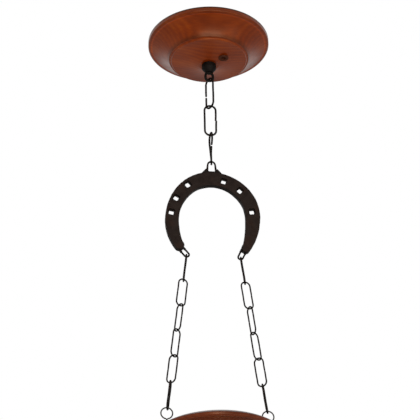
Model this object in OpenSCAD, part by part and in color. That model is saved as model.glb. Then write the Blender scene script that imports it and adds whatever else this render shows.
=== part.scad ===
// Pendant light: a turned wood canopy, an open chain, a horseshoe and two side chains
// that carry a turned wood disc with a lampholder and a bell shade of opal glass.
// The origin is the centre of the canopy on the ceiling, +Z is up and the horseshoe lies in the XZ plane.

/* [Canopy] */
// Outer diameter of the wooden ceiling canopy
canopy_d = 171; // [160:1:200]
// Height of the straight rim against the ceiling
canopy_rim_h = 6.3; // [4:0.1:8]
// Depth of the turned groove round the face, below the ceiling
canopy_groove_depth = 29.5; // [27:0.5:31]
// Diameter of the raised face inside the groove
canopy_face_d = 109; // [106:1:114]
// Depth of the canopy from the ceiling to the middle of its face
canopy_depth = 38.5; // [38:0.5:44]
// Diameter of the hollow at the ceiling
cavity_d = 124; // [120:1:128]
// Depth of the straight part of the hollow
cavity_side_h = 12; // [10:0.5:13]
// Diameter of the floor of the hollow
cavity_floor_d = 98; // [90:1:100]
// Thickness of wood left between the hollow and the middle of the face
canopy_floor_t = 11; // [9:0.5:12]
// Diameter of the cord hole beside the hanging eye
cord_hole_d = 9; // [8:0.5:12]
// Distance of the cord hole from the middle
cord_hole_r = 24.8; // [22:0.2:30]
// Direction of the cord hole round the middle, in degrees from +X
cord_hole_angle = -43; // [-80:1:-20]

/* [Ceiling crossbar] */
// Overall length of the steel crossbar
bar_l = 116; // [112:1:118]
// Width of the steel strip
bar_w = 22; // [20:1:26]
// Thickness of the steel strip
bar_t = 2; // [1.5:0.5:2.5]
// Depth of the crossbar's middle part below the ceiling
bar_drop = 12; // [11:0.5:13]
// Length of the dropped middle part
bar_mid_l = 64; // [60:1:70]
// Distance between the two screw slots
slot_spacing = 90; // [86:1:96]
// Overall length of a screw slot
slot_l = 14; // [10:1:16]
// Width of a screw slot
slot_w = 5; // [4:0.5:6]

/* [Threaded stem] */
// Diameter of the threaded stem and nipple, M10
stem_d = 10; // [9:0.5:11]
// Wall thickness of the hollow stem
stem_wall = 1.8; // [1.5:0.1:2.5]
// Gap between the stem's end and the ceiling
stem_top_gap = 2.5; // [2:0.5:4]
// Size of the hexagon nuts across the flats
nut_af = 17; // [17:1:19]
// Thickness of the hexagon nuts
nut_h = 4.5; // [4:0.5:6]
// Radial clearance of a bolt, stem or pin in its hole
hole_fit = 0.05; // [0.03:0.01:0.1]

/* [Terminal block] */
// Width of the terminal block along the wires
block_w = 16; // [14:1:18]
// Height of the terminal block below the crossbar
block_h = 12; // [11:0.5:13]
// Distance between neighbouring poles
pole_pitch = 10; // [9.5:0.5:11]
// Number of poles
poles = 3; // [2:1:3]
// Outer diameter of a brass clamp
clamp_d = 5; // [4.4:0.1:5.4]
// Diameter of the wire hole in a clamp
clamp_bore = 3; // [2.4:0.1:3.2]
// Diameter of the small screws that hold the block, and of the earth screw
small_screw_d = 3.5; // [3:0.1:3.8]
// Diameter of a small screw's head
small_head_d = 6.5; // [6:0.1:7.5]
// Height of a small screw's head
small_head_h = 1.8; // [1.5:0.1:2]
// Distance of the terminal block from the middle
block_x = -21; // [-21.5:0.5:-19.5]
// Distance of the earth screw from the middle
earth_x = 22; // [18:1:25]
// Length of the earth screw above the crossbar
earth_screw_l = 4; // [2:0.5:6]

/* [Cord inlets] */
// Outer diameter of the grommet's flange
grommet_flange_d = 14; // [13:0.5:18]
// Thickness of the grommet's flange
grommet_flange_t = 1.5; // [1:0.1:2]
// Depth of the grommet's seat below the canopy's face
grommet_sink = 2.5; // [2:0.1:3.5]
// Bore of the grommet and of the gland
cord_bore = 6.5; // [6:0.1:7]
// Outer diameter of the cord gland on the nipple
gland_d = 14; // [13:0.5:16]
// Height of the cord gland
gland_h = 12; // [11:0.5:16]

/* [Hanging eye] */
// Diameter of the collar that bears on the canopy
collar_d = 20; // [18:1:24]
// Height of the collar
collar_h = 11; // [10:0.5:13]
// Depth of the threaded hole in the collar
collar_thread_h = 8; // [6:0.5:8.5]
// Rounding of the collar's lower edge
collar_round = 2.2; // [1.5:0.1:2.6]
// Diameter of the neck between the collar and the eye
eye_neck_d = 11; // [6:0.5:12]
// Fillet between the collar and the neck
neck_fillet = 1.3; // [1:0.1:1.8]
// Distance from the collar down to the middle of the eye's lower end
eye_drop = 10.7; // [10:0.1:13]
// Outer width of the eye
eye_d = 14.4; // [12:0.1:15]
// Thickness of the eye's ring
eye_wire = 3.6; // [2.8:0.1:3.8]
// Length of the eye's straight sides between its round ends
eye_side = 3; // [0.5:0.5:3]
// Turn of the eye about the vertical
eye_yaw = 7; // [2:1:12]

/* [Upper chain] */
// Wire diameter of the upper chain
upper_wire = 2.7; // [2.2:0.1:3]
// Outer width of an upper link
upper_w = 18.3; // [17:0.1:20]
// Distance from one upper contact to the next
upper_pitch = 45.3; // [40:0.1:52]
// Width of the open butt in an upper link
upper_butt = 3; // [1:0.1:4]
// Gap where the middle upper link is closed
upper_closed_butt = 0.6; // [0.4:0.1:1]
// How far below its middle the first upper link is open
upper_butt_drop = 2.8; // [0:0.1:10]
// Gap between the wires where one link hangs in the next
link_gap = 0.3; // [0.2:0.05:0.4]

/* [Horseshoe] */
// Overall width of the horseshoe
shoe_w = 128; // [122:1:136]
// Thickness of the horseshoe
shoe_t = 8; // [6:0.5:10]
// Width of the bar at the toe
toe_bar = 20.3; // [18:0.1:22]
// Distance from the middle to the left branch where the opening is widest
inner_left = 46; // [44:0.1:47]
// Distance from the middle to the right branch where the opening is widest
inner_right = 44.2; // [43:0.1:46]
// Height of the horseshoe from heel to toe
shoe_h = 119; // [114:1:124]
// Height of the opening from the inner heel to the toe bar
inner_h = 88; // [84:1:90]
// Distance from the toe down to the widest place of the left branch
left_wide_drop = 76; // [70:1:80]
// Distance from the toe down to the widest place of the right branch
right_wide_drop = 64; // [60:1:70]
// How much lower the opening is widest than the outer edge
inner_wide_lower = 2.5; // [0:0.5:5]
// Distance from the middle to the outer corner of the left heel
left_heel_x = 50; // [48:0.5:52]
// Distance from the middle to the outer corner of the right heel
right_heel_x = 47; // [46:0.5:50]
// Distance from the middle to the inner corner of the left heel
left_inner_heel_x = 41; // [39:0.5:42]
// Distance from the middle to the inner corner of the right heel
right_inner_heel_x = 39.5; // [38:0.5:41]
// Size of a square nail hole
nail_hole = 6; // [3.5:0.1:6.5]
// Rounding of the corners of a nail hole and its seat
nail_round = 1.5; // [0.5:0.1:1.7]
// Size of the punched seat round a nail hole
nail_seat = 8.6; // [7:0.1:9]
// Depth of the punched seat on each face
nail_seat_t = 3; // [1.5:0.1:3.5]
// Distance of the left nail holes from the outer edge
nail_inset_left = 7.5; // [7:0.1:9]
// Distance of the right nail holes from the outer edge
nail_inset_right = 10.6; // [9:0.1:11]

/* [Welded wire loops] */
// Wire diameter of the staple and the heel loops
loop_wire = 2.5; // [2:0.1:3]
// Outer width of the staple on the toe
staple_w = 14; // [12:0.1:15]
// Height of the staple above the toe
staple_h = 20; // [17:0.5:24]
// Half width of the weld under the staple
weld_half_w = 15; // [13:0.5:17]
// Height of the weld between the staple's legs
weld_h = 2.2; // [1.5:0.1:3]
// Rise of the weld outside the staple's legs, above the weld between them
weld_fillet = 4; // [3:0.5:5]
// Thickness of the weld
weld_t = 5; // [4:0.5:7]
// Outer width of a heel loop
heel_loop_w = 9; // [8.4:0.1:10]
// Distance of a heel loop's round end from the middle
heel_loop_x = 35.9; // [34:0.1:38]
// Distance of a heel loop's round end below the toe
heel_loop_drop = 126; // [124:0.5:130]
// Inward lean of the left heel loop
left_loop_lean = 40; // [34:1:44]
// Inward lean of the right heel loop
right_loop_lean = 25; // [20:1:30]
// Length of a heel loop's legs
loop_leg = 14; // [13.5:0.1:14.5]

/* [Side chains] */
// Wire diameter of the side chains
side_wire = 2; // [1.4:0.1:2.4]
// Outer width of a side link
side_w = 14; // [13:0.1:15]
// Distance from one contact to the next along a side chain
side_pitch = 36.1; // [32:0.1:40]
// Width of the open butt in a side link
side_butt = 0.6; // [0.4:0.1:2]

/* [Screw eyes] */
// Distance of a screw eye from the middle
screw_eye_x = 63.7; // [60:0.1:66]
// Outer diameter of a screw eye's ring
ring_d = 16.3; // [15:0.1:18]
// Wire diameter of a screw eye's ring
ring_wire = 1.7; // [1.5:0.1:2]
// Diameter of a screw eye's shank
shank_d = 2.4; // [2.2:0.1:3]
// Length of the shank above the wood
shank_clear = 11.5; // [9:0.5:13]
// Length of the shank in the wood
shank_in_wood = 13; // [9:0.5:15]

/* [Lamp disc] */
// Outer diameter of the lower wooden disc
disc_d = 159; // [150:1:175]
// Height of the disc's straight edge
disc_edge_h = 4; // [3:0.1:6]
// Rise of the disc's top above its edge
disc_top_rise = 6.3; // [4:0.1:6.5]
// Diameter of the flat top of the disc
disc_top_d = 133; // [132:1:140]
// Depth of the turned groove under the disc, below its top
disc_groove_depth = 26; // [24:0.5:27]
// Diameter of the raised face under the disc
disc_face_d = 100; // [96:1:106]
// Thickness of the disc in the middle
disc_t = 30; // [29:0.5:34]
// Thickness of the washer under the nipple's nut
washer_t = 1.5; // [1:0.1:2]
// Diameter of that washer
washer_d = 24; // [22:1:30]

/* [Shade and gallery] */
// Outer diameter of the glass neck
neck_d = 77; // [74:0.5:78]
// Overhang of the lip at the top of the glass neck
lip_w = 2; // [1:0.5:3]
// Height of the straight glass neck
neck_h = 20; // [18:0.5:24]
// Height of the lip
lip_h = 4; // [3:0.5:5]
// Thickness of the glass
glass_t = 3; // [2.5:0.5:4]
// Diameter of the bell's shoulder
bell_d = 138; // [125:1:150]
// Diameter of the bell's open mouth
mouth_d = 178; // [160:1:190]
// Height of the shade without its neck
bell_h = 123; // [118:1:134]
// Thickness of the gallery's sheet
gallery_t = 1; // [0.8:0.1:1.5]
// Gap round the lip of the glass inside the gallery
gallery_side_gap = 2; // [1:0.5:3]
// Gap between the gallery and the top of the glass
gallery_gap = 1.2; // [1:0.1:2]
// Height of the gallery's skirt
gallery_h = 16; // [15:0.5:18]
// Diameter of the thumbscrews
thumb_d = 4; // [3:0.5:5]
// Diameter of a thumbscrew's head
thumb_head_d = 12; // [10:0.5:14]
// Thickness of a thumbscrew's head
thumb_head_t = 5; // [4:0.5:7]
// Gap between pieces that rest on each other
seat_gap = 0.3; // [0.2:0.05:0.4]

/* [Lampholder and bulb] */
// Outer diameter of the lampholder
holder_d = 39; // [38:0.5:42]
// Wall thickness of the lampholder
holder_wall = 2.5; // [2:0.1:2.8]
// Height of the lampholder's cap
holder_cap_h = 22; // [20:0.5:24]
// Height of the lampholder's skirt
holder_skirt_h = 30; // [28:0.5:34]
// Diameter of the bulb's screw cap, E27
bulb_cap_d = 26.4; // [26:0.1:26.6]
// Height of the bulb's screw cap
bulb_cap_h = 23; // [22:0.5:25]
// Largest diameter of the bulb's glass
bulb_d = 60; // [55:1:62]
// Overall length of the bulb
bulb_l = 105; // [98:1:110]

/* [Hidden] */
$fn = 64;
root_nodes = [
    "ceiling_crossbar", "threaded_stem", "stem_nuts", "terminal_block", "terminal_clamps",
    "terminal_screws", "block_screws", "earth_screw", "canopy", "cord_grommet", "hanging_eye"
];
upper_links = [for (k = [1:3]) str("upper_link_", k)];
shoe_nodes = ["horseshoe", "toe_staple", "left_heel_loop", "right_heel_loop"];
left_links = [for (k = [1:6]) str("left_link_", k)];
right_links = [for (k = [1:6]) str("right_link_", k)];
lamp_nodes = [
    "left_screw_eye", "right_screw_eye", "lamp_disc", "nipple", "nipple_washer", "nipple_nut",
    "cord_gland", "shade_gallery", "glass_shade", "holder_cap", "holder_skirt",
    "holder_insulator", "screw_shell", "centre_contact"
];
bulb_nodes = ["bulb_cap", "bulb_insulator", "bulb_tip", "bulb_glass"];
thumbscrews = [for (k = [1:3]) str("thumbscrew_", k)];

// Colours
wood = [0.42, 0.17, 0.06];
disc_wood = [0.4, 0.16, 0.09];
iron = [0.13, 0.11, 0.1];
steel = [0.7, 0.71, 0.72];
eye_metal = [0.36, 0.37, 0.33];
brass = [0.78, 0.62, 0.3];
black_plastic = [0.07, 0.07, 0.07];
ivory = [0.88, 0.86, 0.78];
opal = [0.95, 0.94, 0.9];

// Depth of the weld's foot below the toe, which the shoe cuts away
weld_foot = 8;

// Upper chain and horseshoe, from the canopy's face down
canopy_floor_z = -canopy_depth + canopy_floor_t;
canopy_flat_w = 4;
collar_z = -canopy_depth;
stem_bottom_z = collar_z - collar_thread_h + seat_gap;
eye_z = collar_z - collar_h - eye_drop;
eye_r = (eye_d - eye_wire) / 2;
upper_contact_z = eye_z - eye_r + (eye_wire + link_gap) / 2;
upper_yaws = [-60, -3, -85];
upper_butt_sides = [-1, 1, 1];
upper_butts = [upper_butt, upper_closed_butt, upper_butt];
upper_butt_drops = [upper_butt_drop, 0, 0];
staple_contact_z = upper_contact_z - 3 * upper_pitch;
staple_top_z = staple_contact_z + (loop_wire + link_gap) / 2;
staple_r = (staple_w - loop_wire) / 2;
toe_z = staple_top_z + loop_wire / 2 - staple_h;
nail_angles_left = [54, 29.5, 9.7];
nail_angles_right = [72.8, 45.5, 6.9];

// Side chains: each hangs on the straight line from its heel loop to its screw eye
loop_r = (heel_loop_w - loop_wire) / 2;
ring_r = (ring_d - ring_wire) / 2;
loop_z = toe_z - heel_loop_drop;
loop_reach = loop_r - (loop_wire + link_gap) / 2;
ring_reach = ring_r - (ring_wire + link_gap) / 2;
side_span = loop_reach + 6 * side_pitch + ring_reach;
side_lean = asin((screw_eye_x - heel_loop_x) / side_span);
ring_z = loop_z - side_span * cos(side_lean);
left_yaws = [81, 16, -59, 39, -34, 76];
right_yaws = [81, 11, -70, 31, -34, 70];
left_butt_sides = [1, -1, 1, 1, -1, 1];
right_butt_sides = [1, 1, -1, 1, 1, -1];

// Lamp, from the screw eyes down
disc_top_z = ring_z - ring_d / 2 - shank_clear;
disc_edge_z = disc_top_z - disc_top_rise;
edge_break = 0.8;
disc_face_z = disc_top_z - disc_t;
nipple_nut_z = disc_top_z + washer_t;
gland_z = nipple_nut_z + nut_h;
gland_step = 3;
gallery_z = disc_face_z - gallery_t;
lip_r = neck_d / 2 + lip_w;
gallery_r = lip_r + gallery_side_gap;
lip_top_z = gallery_z - gallery_gap;
lip_bottom_z = lip_top_z - lip_h;
neck_bottom_z = lip_top_z - neck_h;
thumb_z = lip_bottom_z - seat_gap - thumb_d / 2;
boss_l = 4;
boss_wall = 2.5;
bead_wire = 2.2;
boss_end_r = gallery_r + gallery_t + boss_l;
holder_r = holder_d / 2;
holder_bore_r = holder_r - holder_wall;
holder_neck_h = 7;
holder_neck_wall = 4;
holder_round = 3;
holder_skirt_z = gallery_z - holder_cap_h;
insulator_t = 8;
insulator_z = holder_skirt_z - insulator_t;
contact_t = 1.5;
contact_d = 8;
bulb_top_z = insulator_z - contact_t - seat_gap;
bulb_tip_t = 1.5;
bulb_insulator_t = 2.5;
bulb_cap_z = bulb_top_z - bulb_tip_t - bulb_insulator_t;
bulb_glass_z = bulb_cap_z - bulb_cap_h;
bulb_wall = 0.8;
thread_depth = 0.8;
thread_pitch = 3.5;
shell_t = 0.6;
shell_gap = 0.4;
shell_r = bulb_cap_d / 2 + shell_gap + shell_t;
shell_h = bulb_cap_h - 4;

// Points along a shallow arc from a to b that swells by sag to the left of its direction
function bow(a, b, sag, n) = [
    for (i = [0:n])
        let (t = i / n, d = (b - a) / norm(b - a))
            a + (b - a) * t + [-d[1], d[0]] * sag * 4 * t * (1 - t)
];

// Points along a circular arc in the half plane, from one angle to the other
function arc(centre, r, from, to, n) = [
    for (i = [0:n])
        let (t = from + (to - from) * i / n)
            centre + r * [cos(t), sin(t)]
];

// The same points in the opposite order
function reversed(points) = [for (i = [len(points) - 1:-1:0]) points[i]];

// Sizes of the turned profile that the canopy and the disc share, from the rim inwards
bead_w = 3.4;
bead_h = 1.9;
bead_swell = 0.5;
quirk_w = 1.2;
cove_sag = -2.2;
groove_half_w = 1.6;
groove_wall_h = 2.5;
shoulder_w = 2;
shoulder_swell = -0.5;
face_slope_w = 1.4;
face_swell = 1.2;

// Half profile of a turned underside: rim, bead, cove, groove and gently swelling face
function turned_under(r, rim_z, groove_z, face_r, flat_r, face_z) =
    let (
        cove_r = r - bead_w - quirk_w,
        cove_z = rim_z - bead_h,
        groove_r = face_r + groove_half_w,
        slope_r = face_r - shoulder_w - face_slope_w,
        slope_z = groove_z - groove_wall_h
    )
        concat(
            bow([r, rim_z], [r - bead_w, cove_z], bead_swell, 3),
            bow([cove_r, cove_z], [groove_r + groove_half_w, groove_z + groove_wall_h], cove_sag, 8),
            [[groove_r, groove_z]],
            bow([face_r, groove_z], [face_r - shoulder_w, slope_z], shoulder_swell, 3),
            bow([slope_r, slope_z], [flat_r, face_z], -min(face_swell, (face_r - flat_r) / 12), 5)
        );

// Solid turned about the Z axis from its half profile
module turned(points) rotate_extrude() polygon(points);

// Tube about the Z axis
module tube(z, h, r_out, r_in) {
    translate([0, 0, z]) difference() {
        cylinder(h = h, r = r_out);
        translate([0, 0, -1]) cylinder(h = h + 2, r = r_in);
    }
}

// Hexagon nut about the Z axis
module hex_nut(z) {
    translate([0, 0, z]) difference() {
        cylinder(h = nut_h, d = nut_af / cos(30), $fn = 6);
        translate([0, 0, -1]) cylinder(h = nut_h + 2, d = stem_d + 2 * hole_fit);
    }
}

// Ring of wire in the XZ plane
module wire_ring(r, wire) {
    rotate([90, 0, 0]) rotate_extrude() translate([r, 0]) circle(d = wire);
}

// Half ring of wire in the XZ plane, above or below its centre
module half_ring(r, wire, up) {
    rotate([up ? 90 : -90, 0, 0]) rotate_extrude(angle = 180) translate([r, 0]) circle(d = wire);
}

// One wire link with an open butt in one side, its upper crown wire centred on the origin
module wire_link(w, wire, l, butt, butt_side, butt_drop = 0) {
    r = (w - wire) / 2;
    straight = l - 2 * r;
    top_stub = (straight - butt) / 2 + butt_drop;
    foot_stub = straight - butt - top_stub;
    translate([0, 0, -r]) half_ring(r, wire, true);
    translate([0, 0, -l + r]) half_ring(r, wire, false);
    translate([-butt_side * r, 0, -l + r]) cylinder(h = straight, d = wire);
    translate([butt_side * r, 0, -r - top_stub]) cylinder(h = top_stub, d = wire);
    translate([butt_side * r, 0, -l + r]) cylinder(h = foot_stub, d = wire);
}

// Small pan head screw that points up, its head below z
module small_screw(x, y, z, l) {
    translate([x, y, z - small_head_h]) cylinder(h = small_head_h, d = small_head_d);
    translate([x, y, z]) cylinder(h = l, d = small_screw_d);
}

module ceiling_crossbar() {
    foot_l = (bar_l - bar_mid_l) / 2;
    color(steel) difference() {
        union() {
            translate([-bar_mid_l / 2, -bar_w / 2, -bar_drop]) cube([bar_mid_l, bar_w, bar_t]);
            for (side = [-1, 1]) {
                translate([side * (bar_mid_l - bar_t) / 2 - bar_t / 2, -bar_w / 2, -bar_drop])
                    cube([bar_t, bar_w, bar_drop]);
                translate([side * (bar_mid_l + foot_l) / 2 - foot_l / 2, -bar_w / 2, -bar_t])
                    cube([foot_l, bar_w, bar_t]);
            }
        }
        translate([0, 0, -bar_drop - 1]) cylinder(h = bar_t + 2, d = stem_d + 2 * hole_fit);
        for (y = block_screw_ys) bar_hole(block_x, y);
        bar_hole(earth_x, 0);
        for (side = [-1, 1]) translate([side * slot_spacing / 2, 0, -bar_t - 1]) {
            translate([-(slot_l - slot_w) / 2, -slot_w / 2, 0]) cube([slot_l - slot_w, slot_w, bar_t + 2]);
            for (end = [-1, 1])
                translate([end * (slot_l - slot_w) / 2, 0, 0]) cylinder(h = bar_t + 2, d = slot_w);
        }
    }
}

// Hole for a small screw through the crossbar's middle part
module bar_hole(x, y) {
    translate([x, y, -bar_drop - 1]) cylinder(h = bar_t + 2, d = small_screw_d + 2 * hole_fit);
}

module threaded_stem() {
    color(steel) tube(stem_bottom_z, -stem_top_gap - stem_bottom_z, stem_d / 2, stem_d / 2 - stem_wall);
}

module stem_nuts() {
    color(steel) {
        hex_nut(-bar_drop + bar_t);
        hex_nut(-bar_drop - nut_h);
    }
}

block_end = 2;
block_l = poles * pole_pitch + 2 * block_end;
block_screw_ys = [for (i = [0:poles - 2]) (i - (poles - 2) / 2) * pole_pitch];
terminal_screw_d = clamp_d - 1;

// Places a child at each pole of the terminal block
module at_poles() {
    for (i = [0:poles - 1])
        translate([block_x, (i - (poles - 1) / 2) * pole_pitch, -bar_drop - block_h / 2]) children();
}

module terminal_block() {
    color(ivory) difference() {
        translate([block_x - block_w / 2, -block_l / 2, -bar_drop - block_h])
            cube([block_w, block_l, block_h]);
        at_poles() rotate([0, 90, 0]) cylinder(h = block_w + 2, d = clamp_d + 2 * hole_fit, center = true);
        at_poles() for (x = [-1, 1])
            translate([x * block_w / 4, 0, -block_h / 2 - 1])
                cylinder(h = block_h / 2 + 1, d = terminal_screw_d);
        for (y = block_screw_ys) translate([block_x, y, -bar_drop - block_h - 1])
            cylinder(h = block_h + 2, d = small_screw_d + 2 * hole_fit);
    }
}

module terminal_clamps() {
    color(brass) at_poles() rotate([0, 90, 0]) difference() {
        cylinder(h = block_w - 2, d = clamp_d, center = true);
        cylinder(h = block_w, d = clamp_bore, center = true);
    }
}

module terminal_screws() {
    color(steel) at_poles() for (x = [-1, 1])
        translate([x * block_w / 4, 0, -block_h / 2 + 0.5])
            cylinder(h = block_h / 2 - 0.5 - clamp_d / 2 - hole_fit, d = terminal_screw_d - 2 * hole_fit);
}

module block_screws() {
    color(steel) for (y = block_screw_ys)
        small_screw(block_x, y, -bar_drop - block_h, block_h + bar_t + block_end);
}

module earth_screw() {
    color(brass) small_screw(earth_x, 0, -bar_drop, bar_t + earth_screw_l);
}

// Moves a child to the canopy's cord hole
module at_cord_hole() rotate(cord_hole_angle) translate([cord_hole_r, 0, 0]) children();

// Seat of the grommet's flange, sunk into the face
grommet_seat_z = -canopy_depth + grommet_sink;

module canopy() {
    r = canopy_d / 2;
    flat_r = collar_d / 2 + canopy_flat_w;
    color(wood) difference() {
        turned(concat(
            [[0, 0], [r, 0]],
            turned_under(r, -canopy_rim_h, -canopy_groove_depth, canopy_face_d / 2, flat_r, -canopy_depth),
            [[0, -canopy_depth]]
        ));
        turned([
            [0, 1], [cavity_d / 2, 1], [cavity_d / 2, -cavity_side_h],
            [cavity_floor_d / 2, canopy_floor_z], [0, canopy_floor_z]
        ]);
        translate([0, 0, -canopy_depth - 1]) cylinder(h = canopy_depth, d = stem_d + 2 * hole_fit);
        at_cord_hole() translate([0, 0, -canopy_depth - 1]) {
            cylinder(h = canopy_depth, d = cord_hole_d);
            cylinder(h = grommet_seat_z + canopy_depth + 1, d = grommet_flange_d + 2 * hole_fit);
        }
    }
}

module cord_grommet() {
    color(black_plastic) at_cord_hole() difference() {
        union() {
            translate([0, 0, grommet_seat_z - grommet_flange_t])
                cylinder(h = grommet_flange_t, d = grommet_flange_d);
            translate([0, 0, grommet_seat_z])
                cylinder(h = canopy_floor_z - grommet_seat_z, d = cord_hole_d - 2 * hole_fit);
        }
        translate([0, 0, -canopy_depth]) cylinder(h = canopy_depth, d = cord_bore);
    }
}

module hanging_eye() {
    collar_r = collar_d / 2;
    neck_r = eye_neck_d / 2;
    neck_z = collar_z - collar_h;
    eye_top_z = eye_z + eye_side;
    neck_end_z = eye_top_z + eye_r - eye_wire / 4;
    color(iron) rotate(eye_yaw) {
        difference() {
            turned([
                [0, collar_z], [collar_r, collar_z], [collar_r, neck_z + collar_round * 2],
                [collar_r - collar_round, neck_z + collar_round * 0.8], [neck_r + neck_fillet, neck_z],
                [neck_r, neck_z - neck_fillet], [neck_r, neck_end_z], [0, neck_end_z]
            ]);
            translate([0, 0, collar_z - collar_thread_h])
                cylinder(h = collar_thread_h + 1, d = stem_d + 2 * hole_fit);
        }
        translate([0, 0, eye_top_z]) half_ring(eye_r, eye_wire, true);
        translate([0, 0, eye_z]) half_ring(eye_r, eye_wire, false);
        for (x = [-eye_r, eye_r]) translate([x, 0, eye_z]) cylinder(h = eye_side, d = eye_wire);
    }
}

module upper_link(k) {
    top_z = upper_contact_z - (k - 1) * upper_pitch + (upper_wire + link_gap) / 2;
    l = upper_pitch + upper_wire + link_gap;
    color(iron) translate([0, 0, top_z]) rotate(upper_yaws[k - 1])
        wire_link(upper_w, upper_wire, l, upper_butts[k - 1],
            upper_butt_sides[k - 1], upper_butt_drops[k - 1]);
}

// One half of the horseshoe's edge from its heel to the toe, as ellipses through its widest place
function shoe_edge(side, w, heel_x, wide_drop, h) =
    let (heel_angle = acos(heel_x / w), lower = (h - wide_drop) / sin(heel_angle))
        concat(
            [for (i = [0:6])
                let (t = heel_angle * (1 - i / 6)) [side * w * cos(t), -wide_drop - lower * sin(t)]],
            [for (i = [1:14]) let (t = 6 * i) [side * w * cos(t), wide_drop * (sin(t) - 1)]]
        );

// Edge of the opening, below the toe bar
function inner_edge(side, w, heel_x, wide_drop) = [
    for (p = shoe_edge(side, w, heel_x, wide_drop - toe_bar + inner_wide_lower, inner_h)) p - [0, toe_bar]
];

left_outer = shoe_edge(-1, shoe_w / 2, left_heel_x, left_wide_drop, shoe_h - 1);
right_outer = shoe_edge(1, shoe_w / 2, right_heel_x, right_wide_drop, shoe_h - 1);
left_inner = inner_edge(-1, inner_left, left_inner_heel_x, left_wide_drop);
right_inner = inner_edge(1, inner_right, right_inner_heel_x, right_wide_drop);

// Points of a rounded heel between its two corners
function heel_round(a, b) =
    let (middle = (a + b) / 2, start = atan2(a[1] - middle[1], a[0] - middle[0]))
        [for (i = [1:9]) middle + norm(a - middle) * [cos(start - 18 * i), sin(start - 18 * i)]];

// Flat outline of the horseshoe without its holes, the toe at the origin
module shoe_outline() polygon(concat(
    left_outer, [[0, 0]], reversed(right_outer), heel_round(right_outer[0], right_inner[0]),
    right_inner, [[0, -toe_bar]], reversed(left_inner), heel_round(left_inner[0], left_outer[0])
));

// Punch at each nail hole, square with rounded corners
module nail_punches(size) {
    for (t = nail_angles_left) nail_punch(-1, t, left_wide_drop, nail_inset_left, size);
    for (t = nail_angles_right) nail_punch(1, t, right_wide_drop, nail_inset_right, size);
}

module nail_punch(side, t, wide_drop, inset, size) {
    x = side * (shoe_w / 2 - inset) * cos(t);
    y = (wide_drop - inset) * sin(t) - wide_drop;
    translate([x, y]) rotate(side * t) rounded_square(size, nail_round);
}

module rounded_square(size, r) {
    inner = size - 2 * r;
    square([size, inner], center = true);
    square([inner, size], center = true);
    for (x = [-1, 1], y = [-1, 1]) translate([x * inner / 2, y * inner / 2]) circle(r);
}

// Stands a flat shape up in the XZ plane at the toe, as thick as given
module upright(thickness) {
    translate([0, 0, toe_z]) rotate([90, 0, 0])
        linear_extrude(height = thickness, center = true) children();
}

module shoe_blank() upright(shoe_t) shoe_outline();

module horseshoe() {
    color(iron) difference() {
        shoe_blank();
        upright(shoe_t + 2) nail_punches(nail_hole);
        for (face = [-1, 1])
            translate([0, face * shoe_t / 2, 0]) upright(2 * nail_seat_t) nail_punches(nail_seat);
    }
}

// Outline of the weld outside one leg of the staple, from its foot in the shoe to its top on the leg
function weld_side(side) = [
    [side * weld_half_w, -weld_foot], [side * weld_half_w, -weld_foot / 4],
    [side * (staple_w / 2 + 1), weld_h + 0.9 * weld_fillet], [side * staple_w / 2, weld_h + weld_fillet]
];

module toe_staple() {
    leg_top_z = staple_top_z - staple_r;
    leg_inner = staple_r - loop_wire / 2;
    color(iron) {
        translate([0, 0, leg_top_z]) half_ring(staple_r, loop_wire, true);
        for (side = [-1, 1]) translate([side * staple_r, 0, toe_z + weld_h])
            cylinder(h = leg_top_z - toe_z - weld_h, d = loop_wire);
        difference() {
            upright(weld_t) polygon(concat(
                weld_side(-1), [[-leg_inner, weld_h], [leg_inner, weld_h]], reversed(weld_side(1))
            ));
            shoe_blank();
            upright(shoe_t) polygon([[-weld_half_w, -toe_bar + 1], [weld_half_w, -toe_bar + 1], [0, -1]]);
        }
    }
}

// U of wire welded to a heel, its round end hanging in and down
module heel_loop(side, lean) {
    color(iron) difference() {
        translate([side * heel_loop_x, 0, loop_z]) rotate([0, side * lean, 0]) {
            half_ring(loop_r, loop_wire, false);
            for (x = [-loop_r, loop_r]) translate([x, 0, 0]) cylinder(h = loop_leg, d = loop_wire);
        }
        shoe_blank();
    }
}

// Place at a given distance down a side chain, from the middle of its heel loop
function side_point(side, distance) = [
    side * (heel_loop_x + distance * sin(side_lean)), 0, loop_z - distance * cos(side_lean)
];

module side_link(side, k, yaw, butt_side) {
    color(iron) translate(side_point(side, loop_reach + (k - 1) * side_pitch - (side_wire + link_gap) / 2))
        rotate([0, -side * side_lean, 0]) rotate(yaw)
            wire_link(side_w, side_wire, side_pitch + side_wire + link_gap, side_butt, butt_side);
}

module screw_eye(side) {
    color(eye_metal) translate([side * screw_eye_x, 0, 0]) {
        translate([0, 0, ring_z]) wire_ring(ring_r, ring_wire);
        translate([0, 0, disc_top_z - shank_in_wood])
            cylinder(h = ring_z - ring_r - disc_top_z + shank_in_wood, d = shank_d);
    }
}

module lamp_disc() {
    r = disc_d / 2;
    groove_z = disc_top_z - disc_groove_depth;
    flat_r = gallery_r + gallery_t;
    color(disc_wood) difference() {
        turned(concat(
            [[0, disc_top_z]],
            bow([disc_top_d / 2, disc_top_z], [r - edge_break, disc_edge_z], 0.5, 5),
            [[r, disc_edge_z - edge_break]],
            turned_under(r, disc_edge_z - disc_edge_h, groove_z, disc_face_d / 2, flat_r, disc_face_z),
            [[0, disc_face_z]]
        ));
        translate([0, 0, disc_face_z - 1]) cylinder(h = disc_t + 2, d = stem_d + 2 * hole_fit);
        for (side = [-1, 1]) translate([side * screw_eye_x, 0, disc_top_z - shank_in_wood])
            cylinder(h = shank_in_wood + 1, d = shank_d + 2 * hole_fit);
    }
}

module nipple() {
    bottom_z = gallery_z - holder_neck_h;
    color(brass) tube(bottom_z, gland_z + gland_h / 2 - bottom_z, stem_d / 2, cord_bore / 2);
}

module nipple_washer() {
    color(steel) tube(disc_top_z, washer_t, washer_d / 2, stem_d / 2 + hole_fit);
}

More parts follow.
